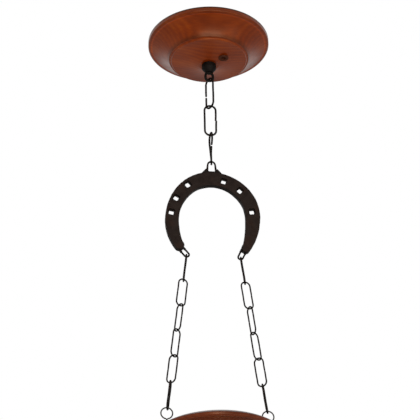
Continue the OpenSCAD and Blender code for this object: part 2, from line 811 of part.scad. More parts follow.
module nipple_nut() {
    color(steel) hex_nut(nipple_nut_z);
}

module cord_gland() {
    color(black_plastic) translate([0, 0, gland_z]) difference() {
        union() {
            cylinder(h = gland_h - gland_step, d = gland_d);
            cylinder(h = gland_h, d = gland_d - gland_step);
        }
        translate([0, 0, -1]) cylinder(h = gland_h / 2 + 1, d = stem_d + 2 * hole_fit);
        cylinder(h = gland_h + 1, d = cord_bore);
    }
}

// Places a child at each thumbscrew, its X axis pointing outwards
module at_thumb(k) rotate(120 * k - 30) translate([0, 0, thumb_z]) rotate([0, 90, 0]) children();

module shade_gallery() {
    bottom_z = gallery_z - gallery_h;
    color(brass) difference() {
        union() {
            turned([
                [0, disc_face_z], [gallery_r + gallery_t, disc_face_z], [gallery_r + gallery_t, bottom_z],
                [gallery_r, bottom_z], [gallery_r, gallery_z], [0, gallery_z]
            ]);
            rotate_extrude() translate([gallery_r + gallery_t / 2, bottom_z]) circle(d = bead_wire);
            for (k = [1:3]) at_thumb(k) translate([0, 0, gallery_r + gallery_t / 2])
                cylinder(h = boss_l + gallery_t / 2, d = thumb_d + 2 * boss_wall);
        }
        translate([0, 0, gallery_z - 1]) cylinder(h = gallery_t + 2, d = stem_d + 2 * hole_fit);
        for (k = [1:3]) at_thumb(k) translate([0, 0, gallery_r - 1])
            cylinder(h = boss_l + gallery_t + 2, d = thumb_d + 2 * hole_fit);
    }
}

module thumbscrew(k) {
    tip_r = neck_d / 2 + seat_gap;
    head_r = boss_end_r + seat_gap;
    color(brass) at_thumb(k) {
        translate([0, 0, tip_r]) cylinder(h = head_r - tip_r, d = thumb_d);
        translate([0, 0, head_r]) difference() {
            cylinder(h = thumb_head_t, d = thumb_head_d);
            for (a = [0:30:330]) rotate(a) translate([thumb_head_d / 2 + 0.4, 0, -1])
                cylinder(h = thumb_head_t + 2, d = 2);
        }
    }
}

// Bell of the shade at a share s of its height, and its outward normal
function bell_point(s) = [
    neck_d / 2 + (bell_d - neck_d) / 2 * sin(90 * min(s / 0.55, 1))
        + (mouth_d - bell_d) / 2 * pow(max(0, (s - 0.3) / 0.7), 2.2),
    neck_bottom_z - bell_h * s
];
function bell_normal(s) = let (d = bell_point(s + 0.01) - bell_point(s - 0.01)) [-d[1], d[0]] / norm(d);

module glass_shade() {
    steps = [for (i = [0:16]) i / 16];
    inner_neck_r = neck_d / 2 - glass_t;
    color(opal) turned(concat(
        [
            [inner_neck_r, lip_top_z], [lip_r, lip_top_z],
            [lip_r, lip_bottom_z], [neck_d / 2, lip_bottom_z]
        ],
        [for (s = steps) bell_point(s)],
        [for (s = reversed(steps)) bell_point(s) - glass_t * bell_normal(s)]
    ));
}

module holder_cap() {
    hole_r = stem_d / 2 + hole_fit;
    neck_r = hole_r + holder_neck_wall;
    roof_z = gallery_z - holder_neck_h;
    roof_in_z = roof_z - holder_wall;
    color(black_plastic) turned([
        [hole_r, gallery_z], [neck_r, gallery_z], [neck_r, gallery_z - holder_neck_h / 2],
        [holder_r - holder_round, roof_z], [holder_r, roof_z - holder_round], [holder_r, holder_skirt_z],
        [holder_bore_r, holder_skirt_z], [holder_bore_r, roof_in_z - holder_round],
        [holder_bore_r - holder_round, roof_in_z], [hole_r, roof_in_z]
    ]);
}

module holder_skirt() {
    color(black_plastic) tube(holder_skirt_z - holder_skirt_h, holder_skirt_h, holder_r, holder_bore_r);
}

module holder_insulator() {
    color(ivory) translate([0, 0, insulator_z]) cylinder(h = insulator_t, r = holder_bore_r - hole_fit);
}

module screw_shell() {
    color(brass) tube(insulator_z - shell_h, shell_h, shell_r, shell_r - shell_t);
}

module centre_contact() {
    color(brass) translate([0, 0, insulator_z - contact_t]) cylinder(h = contact_t, d = contact_d);
}

module bulb_tip() {
    color(steel) translate([0, 0, bulb_top_z - bulb_tip_t]) cylinder(h = bulb_tip_t, d = contact_d);
}

module bulb_insulator() {
    color(black_plastic) translate([0, 0, bulb_cap_z])
        cylinder(h = bulb_insulator_t, r1 = bulb_cap_d / 2 - 3, r2 = contact_d / 2 + 1);
}

// Turned thread crests down the bulb's cap
function thread_crests(n) = [
    for (i = [0:n - 1], side = [0, 1])
        [bulb_cap_d / 2 - side * thread_depth, bulb_cap_z - 3 - (i + side * 0.5) * thread_pitch]
];

module bulb_cap() {
    r = bulb_cap_d / 2;
    bore_r = r - thread_depth - 1;
    color(steel) turned(concat(
        [[0, bulb_cap_z], [r - 2.4, bulb_cap_z]],
        thread_crests(floor((bulb_cap_h - 5) / thread_pitch)),
        [
            [r, bulb_glass_z + 1], [r, bulb_glass_z], [bore_r, bulb_glass_z],
            [bore_r, bulb_cap_z - 1], [0, bulb_cap_z - 1]
        ]
    ));
}

module bulb_glass() {
    r = bulb_d / 2;
    neck_r = bulb_cap_d / 2 - thread_depth - 1 - hole_fit;
    centre = [0, bulb_top_z - bulb_l + r];
    shoulder = [bulb_cap_d / 2, bulb_glass_z];
    wall = [bulb_wall, 0];
    color(opal) turned(concat(
        [[neck_r, bulb_glass_z + 6], [neck_r, bulb_glass_z]],
        bow(shoulder, arc(centre, r, 32, 32, 1)[0], -1.5, 6),
        arc(centre, r, 28, -90, 20),
        arc(centre, r - bulb_wall, -90, 28, 20),
        reversed(bow(shoulder - wall - [neck_r < shoulder[0] - bulb_wall ? shoulder[0] - neck_r : 0, 0],
            arc(centre, r - bulb_wall, 32, 32, 1)[0], -1.5, 6)),
        [[neck_r - bulb_wall, bulb_glass_z + 6]]
    ));
}

ceiling_crossbar();
threaded_stem();
stem_nuts();
terminal_block();
terminal_clamps();
terminal_screws();
block_screws();
earth_screw();
canopy();
cord_grommet();
hanging_eye();
for (k = [1:3])
    upper_link(k);
horseshoe();
toe_staple();
heel_loop(-1, left_loop_lean);  // left_heel_loop
heel_loop(1, right_loop_lean);  // right_heel_loop
for (k = [1:6]) {
    side_link(-1, k, left_yaws[k - 1], left_butt_sides[k - 1]);
    side_link(1, k, right_yaws[k - 1], right_butt_sides[k - 1]);
}
screw_eye(-1);  // left_screw_eye
screw_eye(1);  // right_screw_eye
lamp_disc();
nipple();
nipple_washer();
nipple_nut();
cord_gland();
shade_gallery();
glass_shade();
holder_cap();
holder_skirt();
holder_insulator();
screw_shell();
centre_contact();
bulb_cap();
bulb_insulator();
bulb_tip();
bulb_glass();
for (k = [1:3])
    thumbscrew(k);
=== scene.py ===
"""Pendant light of turned wood, black chain and a horseshoe, with an opal bell shade.

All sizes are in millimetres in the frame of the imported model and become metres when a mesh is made.
"""

from math import ceil, cos, hypot, pi, radians, sin

import bmesh
import bpy
import numpy as np
from mathutils import Matrix, Vector, noise


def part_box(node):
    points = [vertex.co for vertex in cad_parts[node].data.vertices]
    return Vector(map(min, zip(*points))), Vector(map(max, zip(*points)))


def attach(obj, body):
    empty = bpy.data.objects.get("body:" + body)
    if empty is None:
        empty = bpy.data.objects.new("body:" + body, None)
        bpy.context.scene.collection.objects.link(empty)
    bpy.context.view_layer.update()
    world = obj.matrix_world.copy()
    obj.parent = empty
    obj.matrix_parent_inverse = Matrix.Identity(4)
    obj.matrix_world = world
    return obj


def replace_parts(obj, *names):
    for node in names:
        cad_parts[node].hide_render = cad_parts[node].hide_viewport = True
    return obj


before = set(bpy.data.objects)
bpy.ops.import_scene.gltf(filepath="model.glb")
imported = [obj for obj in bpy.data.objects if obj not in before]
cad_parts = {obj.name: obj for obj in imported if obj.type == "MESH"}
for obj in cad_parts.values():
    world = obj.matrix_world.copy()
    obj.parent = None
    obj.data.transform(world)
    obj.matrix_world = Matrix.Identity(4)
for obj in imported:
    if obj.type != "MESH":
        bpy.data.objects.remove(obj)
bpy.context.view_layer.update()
MM = 0.001
# The noise takes its offset from this seed, and without one from the clock.
noise.seed_set(1)


def box(node):
    """Lowest and highest corner of a CAD node in millimetres."""
    low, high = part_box(node)
    return low / MM, high / MM


# Outlines


def bow(a, b, sag, n):
    """Points along a shallow arc from a to b that swells by sag to the left of its direction."""
    a, b = np.array(a, float), np.array(b, float)
    along = (b - a) / np.linalg.norm(b - a)
    side = np.array([-along[1], along[0]])
    return [tuple(a + (b - a) * t + side * sag * 4 * t * (1 - t)) for t in np.linspace(0, 1, n + 1)]


def tube(r_in, r_out, z_low, z_high):
    """Half profile of a plain tube, or of a rod where r_in is 0."""
    return [(r_in, z_low), (r_out, z_low), (r_out, z_high), (r_in, z_high)]


def ridge(angle):
    """How high a ridge that comes once in each turn stands at an angle, from 0 to 1."""
    return 0.5 + 0.5 * cos(angle)


def on_circle(centre, r, angle):
    """The point of a circle in a half plane at an angle in degrees."""
    return centre[0] + r * cos(radians(angle)), centre[1] + r * sin(radians(angle))


def arc(centre, r, start, end, n):
    """Points along a circular arc, with its angles in degrees."""
    return [on_circle(centre, r, angle) for angle in np.linspace(start, end, n + 1)]


def softened(points, radius, steps=4):
    """The closed outline with each corner replaced by a small round of at most the given radius."""
    least_turn, most_of_side = radians(12), 0.45
    out = []
    for i, p in enumerate(points):
        p = np.array(p, float)
        before = np.array(points[i - 1], float) - p
        after = np.array(points[(i + 1) % len(points)], float) - p
        len_before, len_after = np.linalg.norm(before), np.linalg.norm(after)
        before, after = before / len_before, after / len_after
        turn = pi - np.arccos(np.clip(before @ after, -1, 1))
        if turn < least_turn:
            out.append(tuple(p))
            continue
        cut = min(radius * np.tan(turn / 2), most_of_side * len_before, most_of_side * len_after)
        start, end = p + before * cut, p + after * cut
        for t in np.linspace(0, 1, steps + 1):
            out.append(tuple((1 - t) ** 2 * start + 2 * t * (1 - t) * p + t * t * end))
    return out


# Shapes, each a list of points in millimetres and a list of faces


def turned(profile, segments=96, shape=None, closed=True):
    """A solid turned about the Z axis from its half profile.

    shape(r, z, angle) may move each point, which makes threads, flutes and hexagons.
    """
    on_axis = 1e-6
    verts, rings = [], []
    for r, z in profile:
        if r < on_axis:
            rings.append([len(verts)])
            verts.append((0, 0, z))
            continue
        rings.append(list(range(len(verts), len(verts) + segments)))
        for i in range(segments):
            a = 2 * pi * i / segments
            rr, zz = shape(r, z, a) if shape else (r, z)
            verts.append((rr * cos(a), rr * sin(a), zz))
    faces = []
    pairs = list(zip(rings, rings[1:]))
    if closed:
        pairs.append((rings[-1], rings[0]))
    for one, two in pairs:
        for i in range(segments):
            k = (i + 1) % segments
            corners = one[i % len(one)], one[k % len(one)], two[k % len(two)], two[i % len(two)]
            face = tuple(dict.fromkeys(corners))
            if len(face) > 2:
                faces.append(face)
    return verts, faces


def swept(path, radius, sides=20):
    """A round wire along a path, with slightly domed cut ends. radius is a number or one for each point."""
    cap_rings, dome = 4, 0.35
    path = [Vector(p) for p in path]
    radii = [radius] * len(path) if isinstance(radius, (int, float)) else list(radius)
    tangents = []
    for i in range(len(path)):
        ahead = path[min(i + 1, len(path) - 1)] - path[max(i - 1, 0)]
        tangents.append(ahead.normalized())
    across = tangents[0].orthogonal().normalized()
    verts, rings = [], []

    def ring(centre, tangent, r):
        nonlocal across
        across = (across - tangent * across.dot(tangent)).normalized()
        up = tangent.cross(across)
        rings.append(range(len(verts), len(verts) + sides))
        for k in range(sides):
            a = 2 * pi * k / sides
            verts.append(tuple(centre + (across * cos(a) + up * sin(a)) * r))

    cap = [radians(90 * (i + 1) / (cap_rings + 1)) for i in range(cap_rings)]
    for t in reversed(cap):
        ring(path[0] - tangents[0] * radii[0] * dome * sin(t), tangents[0], radii[0] * cos(t) ** 0.5)
    for centre, tangent, r in zip(path, tangents, radii):
        ring(centre, tangent, r)
    for t in cap:
        ring(path[-1] + tangents[-1] * radii[-1] * dome * sin(t), tangents[-1], radii[-1] * cos(t) ** 0.5)
    faces = []
    for one, two in zip(rings, rings[1:]):
        for i in range(sides):
            k = (i + 1) % sides
            faces.append((one[i], one[k], two[k], two[i]))
    faces.append(tuple(reversed(rings[0])))
    faces.append(tuple(rings[-1]))
    return verts, faces


def moved(shape, matrix):
    """A shape after a transform in millimetres."""
    verts, faces = shape
    return [tuple(matrix @ Vector(v)) for v in verts], faces


def joined(*shapes):
    """Several shapes as one."""
    verts, faces = [], []
    for v, f in shapes:
        start = len(verts)
        verts += list(v)
        faces += [tuple(start + i for i in face) for face in f]
    return verts, faces


def noise_place(seed, steps):
    """Where in the noise a seed looks."""
    return Vector([seed * step for step in steps])


def roughened(shape, size, depth, seed):
    """A shape with its points pushed in and out by smooth noise, as hand worked iron is."""
    verts, faces = shape
    offset = noise_place(seed, (17.3, 5.1, 9.7))
    out = []
    for v in verts:
        v = Vector(v)
        out.append(tuple(v + noise.noise_vector(v / size + offset) * depth))
    return out, faces


# Pieces


def mesh_from(shape, name):
    """A mesh in metres from a shape in millimetres."""
    verts, faces = shape
    mesh = bpy.data.meshes.new(name)
    mesh.from_pydata([tuple(np.asarray(v, float) * MM) for v in verts], [], [tuple(f) for f in faces])
    return mesh


def cleaned(mesh, merge_distance=None):
    """Merges the points that lie within a distance in metres, and turns the faces outwards."""
    bm = bmesh.new()
    bm.from_mesh(mesh)
    if merge_distance:
        bmesh.ops.remove_doubles(bm, verts=bm.verts, dist=merge_distance)
    bmesh.ops.recalc_face_normals(bm, faces=bm.faces)
    bm.to_mesh(mesh)
    bm.free()


def added(name, data):
    """A new object in the scene that holds a mesh, a lamp or a camera."""
    made = bpy.data.objects.new(name, data)
    bpy.context.scene.collection.objects.link(made)
    return made


def dressed(piece, material, body, sharp=35):
    """Gives a piece its material, its shading and its body."""
    mesh = piece.data
    mesh.materials.clear()
    mesh.materials.append(material)
    mesh.polygons.foreach_set("use_smooth", [True] * len(mesh.polygons))
    mesh.set_sharp_from_angle(angle=radians(sharp))
    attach(piece, body)
    return piece


def new_piece(name, shape, material, body, sharp=35):
    """A piece made from a shape, smooth except where its faces meet at a sharp angle."""
    mesh = mesh_from(shape, name)
    mesh.validate()
    cleaned(mesh, 1e-7)
    return dressed(added(name, mesh), material, body, sharp)


def stand_in(node, name, shape, material, body, sharp=35):
    """A new piece that takes the place of a CAD node."""
    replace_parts(new_piece(name, shape, material, body, sharp), node)


def applied(piece):
    """Bakes the piece's modifiers into its mesh."""
    graph = bpy.context.evaluated_depsgraph_get()
    mesh = bpy.data.meshes.new_from_object(piece.evaluated_get(graph))
    old = piece.data
    piece.modifiers.clear()
    piece.data = mesh
    bpy.data.meshes.remove(old)


def combined(piece, shape, operation):
    """Cuts a closed shape out of a piece, or welds it on."""
    mesh = mesh_from(shape, "tool")
    cleaned(mesh)
    tool = added("tool", mesh)
    change = piece.modifiers.new("change", "BOOLEAN")
    change.operation = operation
    change.object = tool
    change.solver = "EXACT"
    applied(piece)
    bpy.data.objects.remove(tool)
    bpy.data.meshes.remove(mesh)


def hammered(piece, size, depth, seed):
    """Pushes the points of a piece along their normals by smooth noise."""
    dimension, lacunarity, octaves = 0.8, 2.1, 3
    offset = noise_place(seed, (3.7, 11.9, 7.3))
    mesh = piece.data
    places = np.empty(3 * len(mesh.vertices), np.float32)
    normals = np.empty_like(places)
    mesh.vertices.foreach_get("co", places)
    mesh.vertex_normals.foreach_get("vector", normals)
    places, normals = places.reshape(-1, 3), normals.reshape(-1, 3)
    pushes = [
        noise.fractal(Vector(place) / MM / size + offset, dimension, lacunarity, octaves)
        for place in places
    ]
    places += normals * np.array(pushes, np.float32)[:, None] * depth * MM
    mesh.vertices.foreach_set("co", places.ravel())
    mesh.update()


def forged(node, name, mesh, voxel, smoothing, blows, material, body):
    """A mesh as one even skin with soft edges, hammered, that takes the place of a CAD node.

    A blow is its size, its depth and its seed.
    """
    cleaned(mesh, 1e-6)
    piece = added(name, mesh)
    skin = piece.modifiers.new("skin", "REMESH")
    skin.mode = "VOXEL"
    skin.voxel_size = voxel * MM
    soft = piece.modifiers.new("soft", "SMOOTH")
    soft.factor = 0.5
    soft.iterations = smoothing
    applied(piece)
    for size, depth, seed in blows:
        hammered(piece, size, depth, seed)
    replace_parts(dressed(piece, material, body, 70), node)


# Node materials


def set_inputs(node, values):
    """Sets the values of a shader node's inputs."""
    for socket, value in values.items():
        node.inputs[socket].default_value = value


class Shader:
    """A Principled material and short ways to build the patterns that feed it."""

    def __init__(self, name, slot, colour, roughness, **sockets):
        self.material = bpy.data.materials.new(name)
        self.material["slot"] = slot
        self.material.use_nodes = True
        self.tree = self.material.node_tree
        self.surface = self.tree.nodes["Principled BSDF"]
        set_inputs(self.surface, {"Base Color": (*colour, 1), "Roughness": roughness})
        set_inputs(self.surface, {name.replace("_", " "): value for name, value in sockets.items()})
        self.place = self.tree.nodes.new("ShaderNodeTexCoord")

    def node(self, kind, links=(), **settings):
        """A node of a kind, its inputs linked or set, with its settings."""
        made = self.tree.nodes.new("ShaderNode" + kind)
        for key, value in settings.items():
            setattr(made, key, value)
        for socket, source in dict(links).items():
            if isinstance(source, bpy.types.NodeSocket):
                self.tree.links.new(source, made.inputs[socket])
            else:
                made.inputs[socket].default_value = source
        return made

    def stretched(self, scale, shift=(0, 0, 0)):
        """Object coordinates in metres, shifted and scaled."""
        links = {"Vector": self.place.outputs["Object"], "Location": shift, "Scale": scale}
        return self.node("Mapping", links).outputs["Vector"]

    def noise(self, scale, detail=3, where=None, distortion=0.0):
        """Smooth noise, from 0 to 1."""
        links = {"Scale": scale, "Detail": detail, "Distortion": distortion}
        links["Vector"] = where or self.place.outputs["Object"]
        return self.node("TexNoise", links).outputs["Fac"]

    def ramp(self, value, stops):
        """A colour ramp, its stops as (position, colour or grey)."""
        made = self.node("ValToRGB", {"Fac": value})
        while len(made.color_ramp.elements) < len(stops):
            made.color_ramp.elements.new(0.5)
        for element, (position, colour) in zip(made.color_ramp.elements, stops):
            element.position = position
            element.color = (*colour, 1) if isinstance(colour, tuple) else (colour, colour, colour, 1)
        return made.outputs["Color"]

    def math(self, operation, a, b=0.0):
        """The result of an operation on one or two values."""
        return self.node("Math", {0: a, 1: b}, operation=operation).outputs["Value"]

    def mix(self, factor, a, b, blend="MIX"):
        """Two colours blended by a factor."""
        made = self.node("Mix", data_type="RGBA", blend_type=blend)
        for socket, source in zip(("Factor", "A", "B"), (factor, a, b)):
            found = [s for s in made.inputs if s.name == socket and s.enabled][0]
            if isinstance(source, bpy.types.NodeSocket):
                self.tree.links.new(source, found)
            else:
                found.default_value = (*source, 1) if isinstance(source, tuple) else source
        return [s for s in made.outputs if s.enabled][0]

    def feed(self, socket, source):
        """Links a pattern to a socket of the surface."""
        self.tree.links.new(source, self.surface.inputs[socket])

    def bump(self, height, strength, distance):
        """Adds relief, distance in metres, on top of what is already there."""
        made = self.node("Bump", {"Height": height, "Strength": strength, "Distance": distance})
        socket = self.surface.inputs["Normal"]
        if socket.is_linked:
            self.tree.links.new(socket.links[0].from_socket, made.inputs["Normal"])
        self.feed("Normal", made.outputs["Normal"])


def growth_rings(s, pith, profile, detail=()):
    """Growth rings about a pith that runs along X, drawn out along the grain."""
    along_grain, rings_scale, wander = (0.06, 1, 1), 62.0, 2.4
    grain = s.stretched(along_grain, pith)
    links = {"Vector": grain, "Scale": rings_scale, "Distortion": wander, **dict(detail)}
    rings = s.node("TexWave", links, wave_type="RINGS", rings_direction="X", wave_profile=profile)
    return rings.outputs["Fac"]


def varnished_wood(name, slot, dark, middle, light, pith, radius, tone_and_painted_light, arris_z):
    """Flat sawn, turned wood under a dark stain and a satin varnish.

    stained lists (share of the radius, darkness), darkness below 0 lightening, for the turned underside:
    ring tones and painted light, such as painted shade in a groove and a painted highlight along an edge.
    At arris_z a thin dark line is painted along the upper arris, a painted shadow line.
    """
    streak_scale, blotch_scale, pore_scale = (26, 420, 420), (16, 34, 34), (90, 1500, 1500)
    s = Shader(
        name, slot, middle, 0.34, Coat_Weight=0.04, Coat_Roughness=0.2, Coat_IOR=1.45,
        Specular_IOR_Level=0.33, Specular_Tint=(1.0, 0.5, 0.25, 1),
    )
    rings = growth_rings(s, pith, "SIN", {"Detail": 3.0, "Detail Scale": 0.6})
    streaks = s.noise(1.0, 4, s.stretched(streak_scale))
    blotches = s.noise(1.0, 3, s.stretched(blotch_scale))
    sum_of = s.math("ADD", s.math("MULTIPLY", rings, 0.1), s.math("MULTIPLY", streaks, 0.3))
    sum_of = s.math("ADD", sum_of, s.math("MULTIPLY", blotches, 0.6))
    tone = s.ramp(sum_of, [(0.36, dark), (0.5, middle), (0.66, light)])
    warm = s.ramp(s.noise(14.0, 2), [(0.35, (0.86, 0.8, 0.8)), (0.65, (1.1, 1.12, 1.0))])
    colour = s.mix(1.0, tone, warm, "MULTIPLY")
    pores = s.ramp(s.noise(1.0, 2, s.stretched(pore_scale)), [(0.58, 1.0), (0.7, 0.6)])
    colour = s.mix(0.45, colour, pores, "MULTIPLY")

    spot = s.node("SeparateXYZ", {"Vector": s.place.outputs["Object"]})
    flat = s.node("CombineXYZ", {"X": spot.outputs["X"], "Y": spot.outputs["Y"]})
    reach = s.node("VectorMath", {0: flat.outputs["Vector"]}, operation="LENGTH").outputs["Value"]
    share = s.math("DIVIDE", reach, radius * MM)
    # Rings of colour by radius below the arris: painted shade in grooves and on the rim, painted highlights
    # along edges.
    ring_tone_and_painted_light = s.ramp(share, [(at, 1 - depth) for at, depth in tone_and_painted_light])
    under = s.math("LESS_THAN", spot.outputs["Z"], arris_z * MM)
    colour = s.mix(under, colour, s.mix(1.0, colour, ring_tone_and_painted_light, "MULTIPLY"))
    # A painted shadow line along the upper arris, within about a millimetre of arris_z.
    off_line = s.math("ABSOLUTE", s.math("SUBTRACT", spot.outputs["Z"], arris_z * MM))
    arris_shadow = s.ramp(s.math("MULTIPLY", off_line, 500.0), [(0.3, 0.1), (0.6, 1.0)])
    s.feed("Base Color", s.mix(1.0, colour, arris_shadow, "MULTIPLY"))

    s.feed("Roughness", s.ramp(s.noise(60.0, 3), [(0.3, 0.3), (0.7, 0.4)]))
    s.bump(streaks, 0.1, 0.0002)
    s.bump(pores, 0.2, 0.00008)
    s.bump(s.noise(22.0, 2), 0.25, 0.0009)
    return s.material


def bare_wood(name, slot, pith):
    """Unvarnished turned wood, as in the hollow that faces the ceiling."""
    pore_scale = (60, 900, 900)
    s = Shader(name, slot, (0.42, 0.24, 0.12), 0.8)
    rings = growth_rings(s, pith, "SAW")
    s.feed("Base Color", s.ramp(rings, [(0.2, (0.3, 0.15, 0.07)), (0.8, (0.5, 0.3, 0.16))]))
    s.bump(s.noise(1.0, 3, s.stretched(pore_scale)), 0.5, 0.0002)
    return s.material


def black_iron(name, slot, dark, light, pitted):
    """Blackened iron: a dull dark skin with paler rubbed patches, fine pits and a trace of rust.

    The edges and the walls of holes are painted darker than the flat front and back, as painted shade.
    """
    rust = (0.02, 0.008, 0.0045)
    s = Shader(name, slot, dark, 0.6, Specular_IOR_Level=0.09, Specular_Tint=(1.0, 0.8, 0.7, 1))
    colour = s.ramp(s.noise(120.0, 5, distortion=0.6), [(0.35, dark), (0.62, light)])
    brown = s.ramp(s.noise(55.0, 4), [(0.54, 0.0), (0.7, 0.5)])
    colour = s.mix(brown, colour, rust)
    # Faces that turn away from the front get painted shade.
    facing = s.node("SeparateXYZ", {"Vector": s.place.outputs["Normal"]}).outputs["Y"]
    painted_edge_shade = s.ramp(s.math("ABSOLUTE", facing), [(0.55, 0.3), (0.92, 1.0)])
    s.feed("Base Color", s.mix(1.0, colour, painted_edge_shade, "MULTIPLY"))
    s.feed("Roughness", s.ramp(s.noise(400.0, 3), [(0.3, 0.5), (0.7, 0.72)]))
    s.bump(s.noise(900.0, 4), 0.35, 0.00012)
    s.bump(s.noise(170.0, 4), 0.5, pitted)
    return s.material


def plated_metal(name, slot, colour, worn, roughness, grain=(400, 400, 400)):
    """Plated or plain metal with fine brushing and slight tarnish."""
    s = Shader(name, slot, colour, roughness, Metallic=1.0)
    tarnish = s.ramp(s.noise(90.0, 4), [(0.35, worn), (0.7, colour)])
    s.feed("Base Color", tarnish)
    lines = s.noise(1.0, 3, s.stretched(grain))
    s.feed("Roughness", s.ramp(lines, [(0.3, roughness * 0.75), (0.7, min(1.0, roughness * 1.35))]))
    s.bump(lines, 0.2, 0.00003)
    return s.material


def moulded(name, slot, colour, roughness, grain=1800.0, coat=0.0, gloss=0.5):
    """Moulded plastic, rubber or glazed ceramic with a fine grain and slight mottling."""
    s = Shader(
        name, slot, colour, roughness, Coat_Weight=coat, Coat_Roughness=0.06, Specular_IOR_Level=gloss
    )
    duller = tuple(c * 0.8 for c in colour)
    smooth, rough = roughness * 0.85, min(1.0, roughness * 1.15)
    s.feed("Base Color", s.ramp(s.noise(70.0, 3), [(0.3, duller), (0.7, colour)]))
    s.feed("Roughness", s.ramp(s.noise(150.0, 3), [(0.3, smooth), (0.7, rough)]))
    s.bump(s.noise(grain, 2), 0.2, 0.00004)
    return s.material


def milk_glass(name, slot, colour, roughness, depth, waviness):
    """Opal glass: white all through, glossy, a little uneven in thickness."""
    s = Shader(
        name, slot, colour, roughness, Subsurface_Weight=0.6, Subsurface_Radius=(1.0, 0.92, 0.8),
        Subsurface_Scale=depth, Coat_Weight=0.6, Coat_Roughness=0.05, Specular_IOR_Level=0.5,
    )
    faint = tuple(c * 0.93 for c in colour)
    s.feed("Base Color", s.ramp(s.noise(9.0, 2), [(0.1, faint), (0.9, colour)]))
    s.feed("Roughness", s.ramp(s.noise(30.0, 1), [(0.1, roughness * 0.7), (0.9, roughness * 1.3)]))
    s.bump(s.noise(16.0, 0), 0.25, waviness)
    return s.material


CANOPY_R = (box("canopy")[1].x - box("canopy")[0].x) / 2
CANOPY_PITH, CANOPY_ARRIS = (0, 0.21, 0.16), -1.1
# Darker towards the middle, painted shade in the groove, a painted highlight along the quirk inside the
# bead, and painted shade on the rim.
CANOPY_TONE_AND_PAINTED_LIGHT = [
    (0.0, 0.3), (0.16, 0.1), (0.25, 0.0), (0.645, 0.0), (0.655, 0.5), (0.675, 0.35), (0.7, 0.0),
    (0.925, 0.0), (0.943, -0.45), (0.953, -0.45), (0.963, 0.05), (1.0, 0.25),
]
CANOPY_WOOD = varnished_wood(
    "canopy_varnished_wood", "canopy_wood",
    (0.105, 0.0115, 0.0004), (0.142, 0.0175, 0.0006), (0.184, 0.029, 0.001),
    CANOPY_PITH, CANOPY_R, CANOPY_TONE_AND_PAINTED_LIGHT, CANOPY_ARRIS,
)
DISC_R = (box("lamp_disc")[1].x - box("lamp_disc")[0].x) / 2
DISC_TOP = box("lamp_disc")[1].z
DISC_PITH, DISC_ARRIS = (0.02, -0.24, 0.75), DISC_TOP - 6.2
# Painted shade in the groove under the disc.
DISC_PAINTED_GROOVE_SHADE = [(0.0, 0.0), (0.63, 0.0), (0.645, 0.5), (0.665, 0.35), (0.69, 0.0)]
DISC_WOOD = varnished_wood(
    "disc_varnished_wood", "disc_wood",
    (0.05, 0.0062, 0.0018), (0.067, 0.0098, 0.0028), (0.09, 0.0155, 0.0045),
    DISC_PITH, DISC_R, DISC_PAINTED_GROOVE_SHADE, DISC_ARRIS,
)
RAW_WOOD = bare_wood("raw_wood", "canopy_wood", CANOPY_PITH)
SHOE_IRON = black_iron(
    "forged_iron", "horseshoe_iron", (0.008, 0.0048, 0.0038), (0.0135, 0.0088, 0.007), 0.0006
)
WIRE_IRON = black_iron(
    "black_wire", "black_iron", (0.002, 0.0014, 0.0011), (0.0055, 0.004, 0.0032), 0.00025
)
EYE_STEEL = plated_metal(
    "antique_steel", "antique_steel", (0.05, 0.048, 0.04), (0.022, 0.02, 0.017), 0.42
)
ZINC = plated_metal(
    "zinc_steel", "zinc_steel", (0.55, 0.56, 0.57), (0.34, 0.34, 0.33), 0.34, (60, 900, 900)
)
ALUMINIUM = plated_metal("rolled_aluminium", "aluminium", (0.68, 0.69, 0.7), (0.5, 0.5, 0.5), 0.3)
BRASS = plated_metal("satin_brass", "brass", (0.58, 0.4, 0.15), (0.36, 0.22, 0.08), 0.3)
OLD_BRASS = plated_metal("antique_brass", "gallery_brass", (0.36, 0.23, 0.095), (0.14, 0.08, 0.035), 0.38)
RUBBER = moulded("brown_rubber", "brown_rubber", (0.05, 0.012, 0.004), 0.75, gloss=0.1)
PHENOLIC = moulded("black_phenolic", "black_plastic", (0.02, 0.018, 0.017), 0.35)
NYLON = moulded("ivory_nylon", "nylon", (0.72, 0.69, 0.6), 0.5)
PORCELAIN = moulded("glazed_porcelain", "porcelain", (0.74, 0.71, 0.64), 0.3, grain=600.0, coat=0.7)
OPAL = milk_glass("opal_glass", "opal_glass", (0.64, 0.625, 0.585), 0.28, depth=0.006, waviness=0.0006)
FROST = milk_glass("frosted_glass", "bulb_glass", (0.7, 0.69, 0.66), 0.45, depth=0.01, waviness=0.0001)


# Turned wood

BEAD_W, BEAD_H, BEAD_SWELL = 3.4, 1.9, 0.5
QUIRK_W = 1.2
COVE_SAG = -2.2
GROOVE_HALF_W, GROOVE_WALL_H = 1.6, 2.5
SHOULDER_W, SHOULDER_SWELL = 2.0, -0.5
SLOPE_W, FACE_SWELL = 1.4, 1.2
M10_R, M10_HOLE_R = 5, 5.05


def turned_under(r, rim_z, groove_z, face_r, flat_r, face_z):
    """Half profile of a turned underside: rim, bead, cove, groove and gently swelling face."""
    cove = (r - BEAD_W - QUIRK_W, rim_z - BEAD_H)
    groove_r = face_r + GROOVE_HALF_W
    slope = (face_r - SHOULDER_W - SLOPE_W, groove_z - GROOVE_WALL_H)
    return (
        bow((r, rim_z), (r - BEAD_W, cove[1]), BEAD_SWELL, 8)
        + bow(cove, (groove_r + GROOVE_HALF_W, groove_z + GROOVE_WALL_H), COVE_SAG, 40)
        + [(groove_r, groove_z)]
        + bow((face_r, groove_z), (face_r - SHOULDER_W, slope[1]), SHOULDER_SWELL, 8)
        + bow(slope, (flat_r, face_z), -min(FACE_SWELL, (face_r - flat_r) / 12), 30)
    )


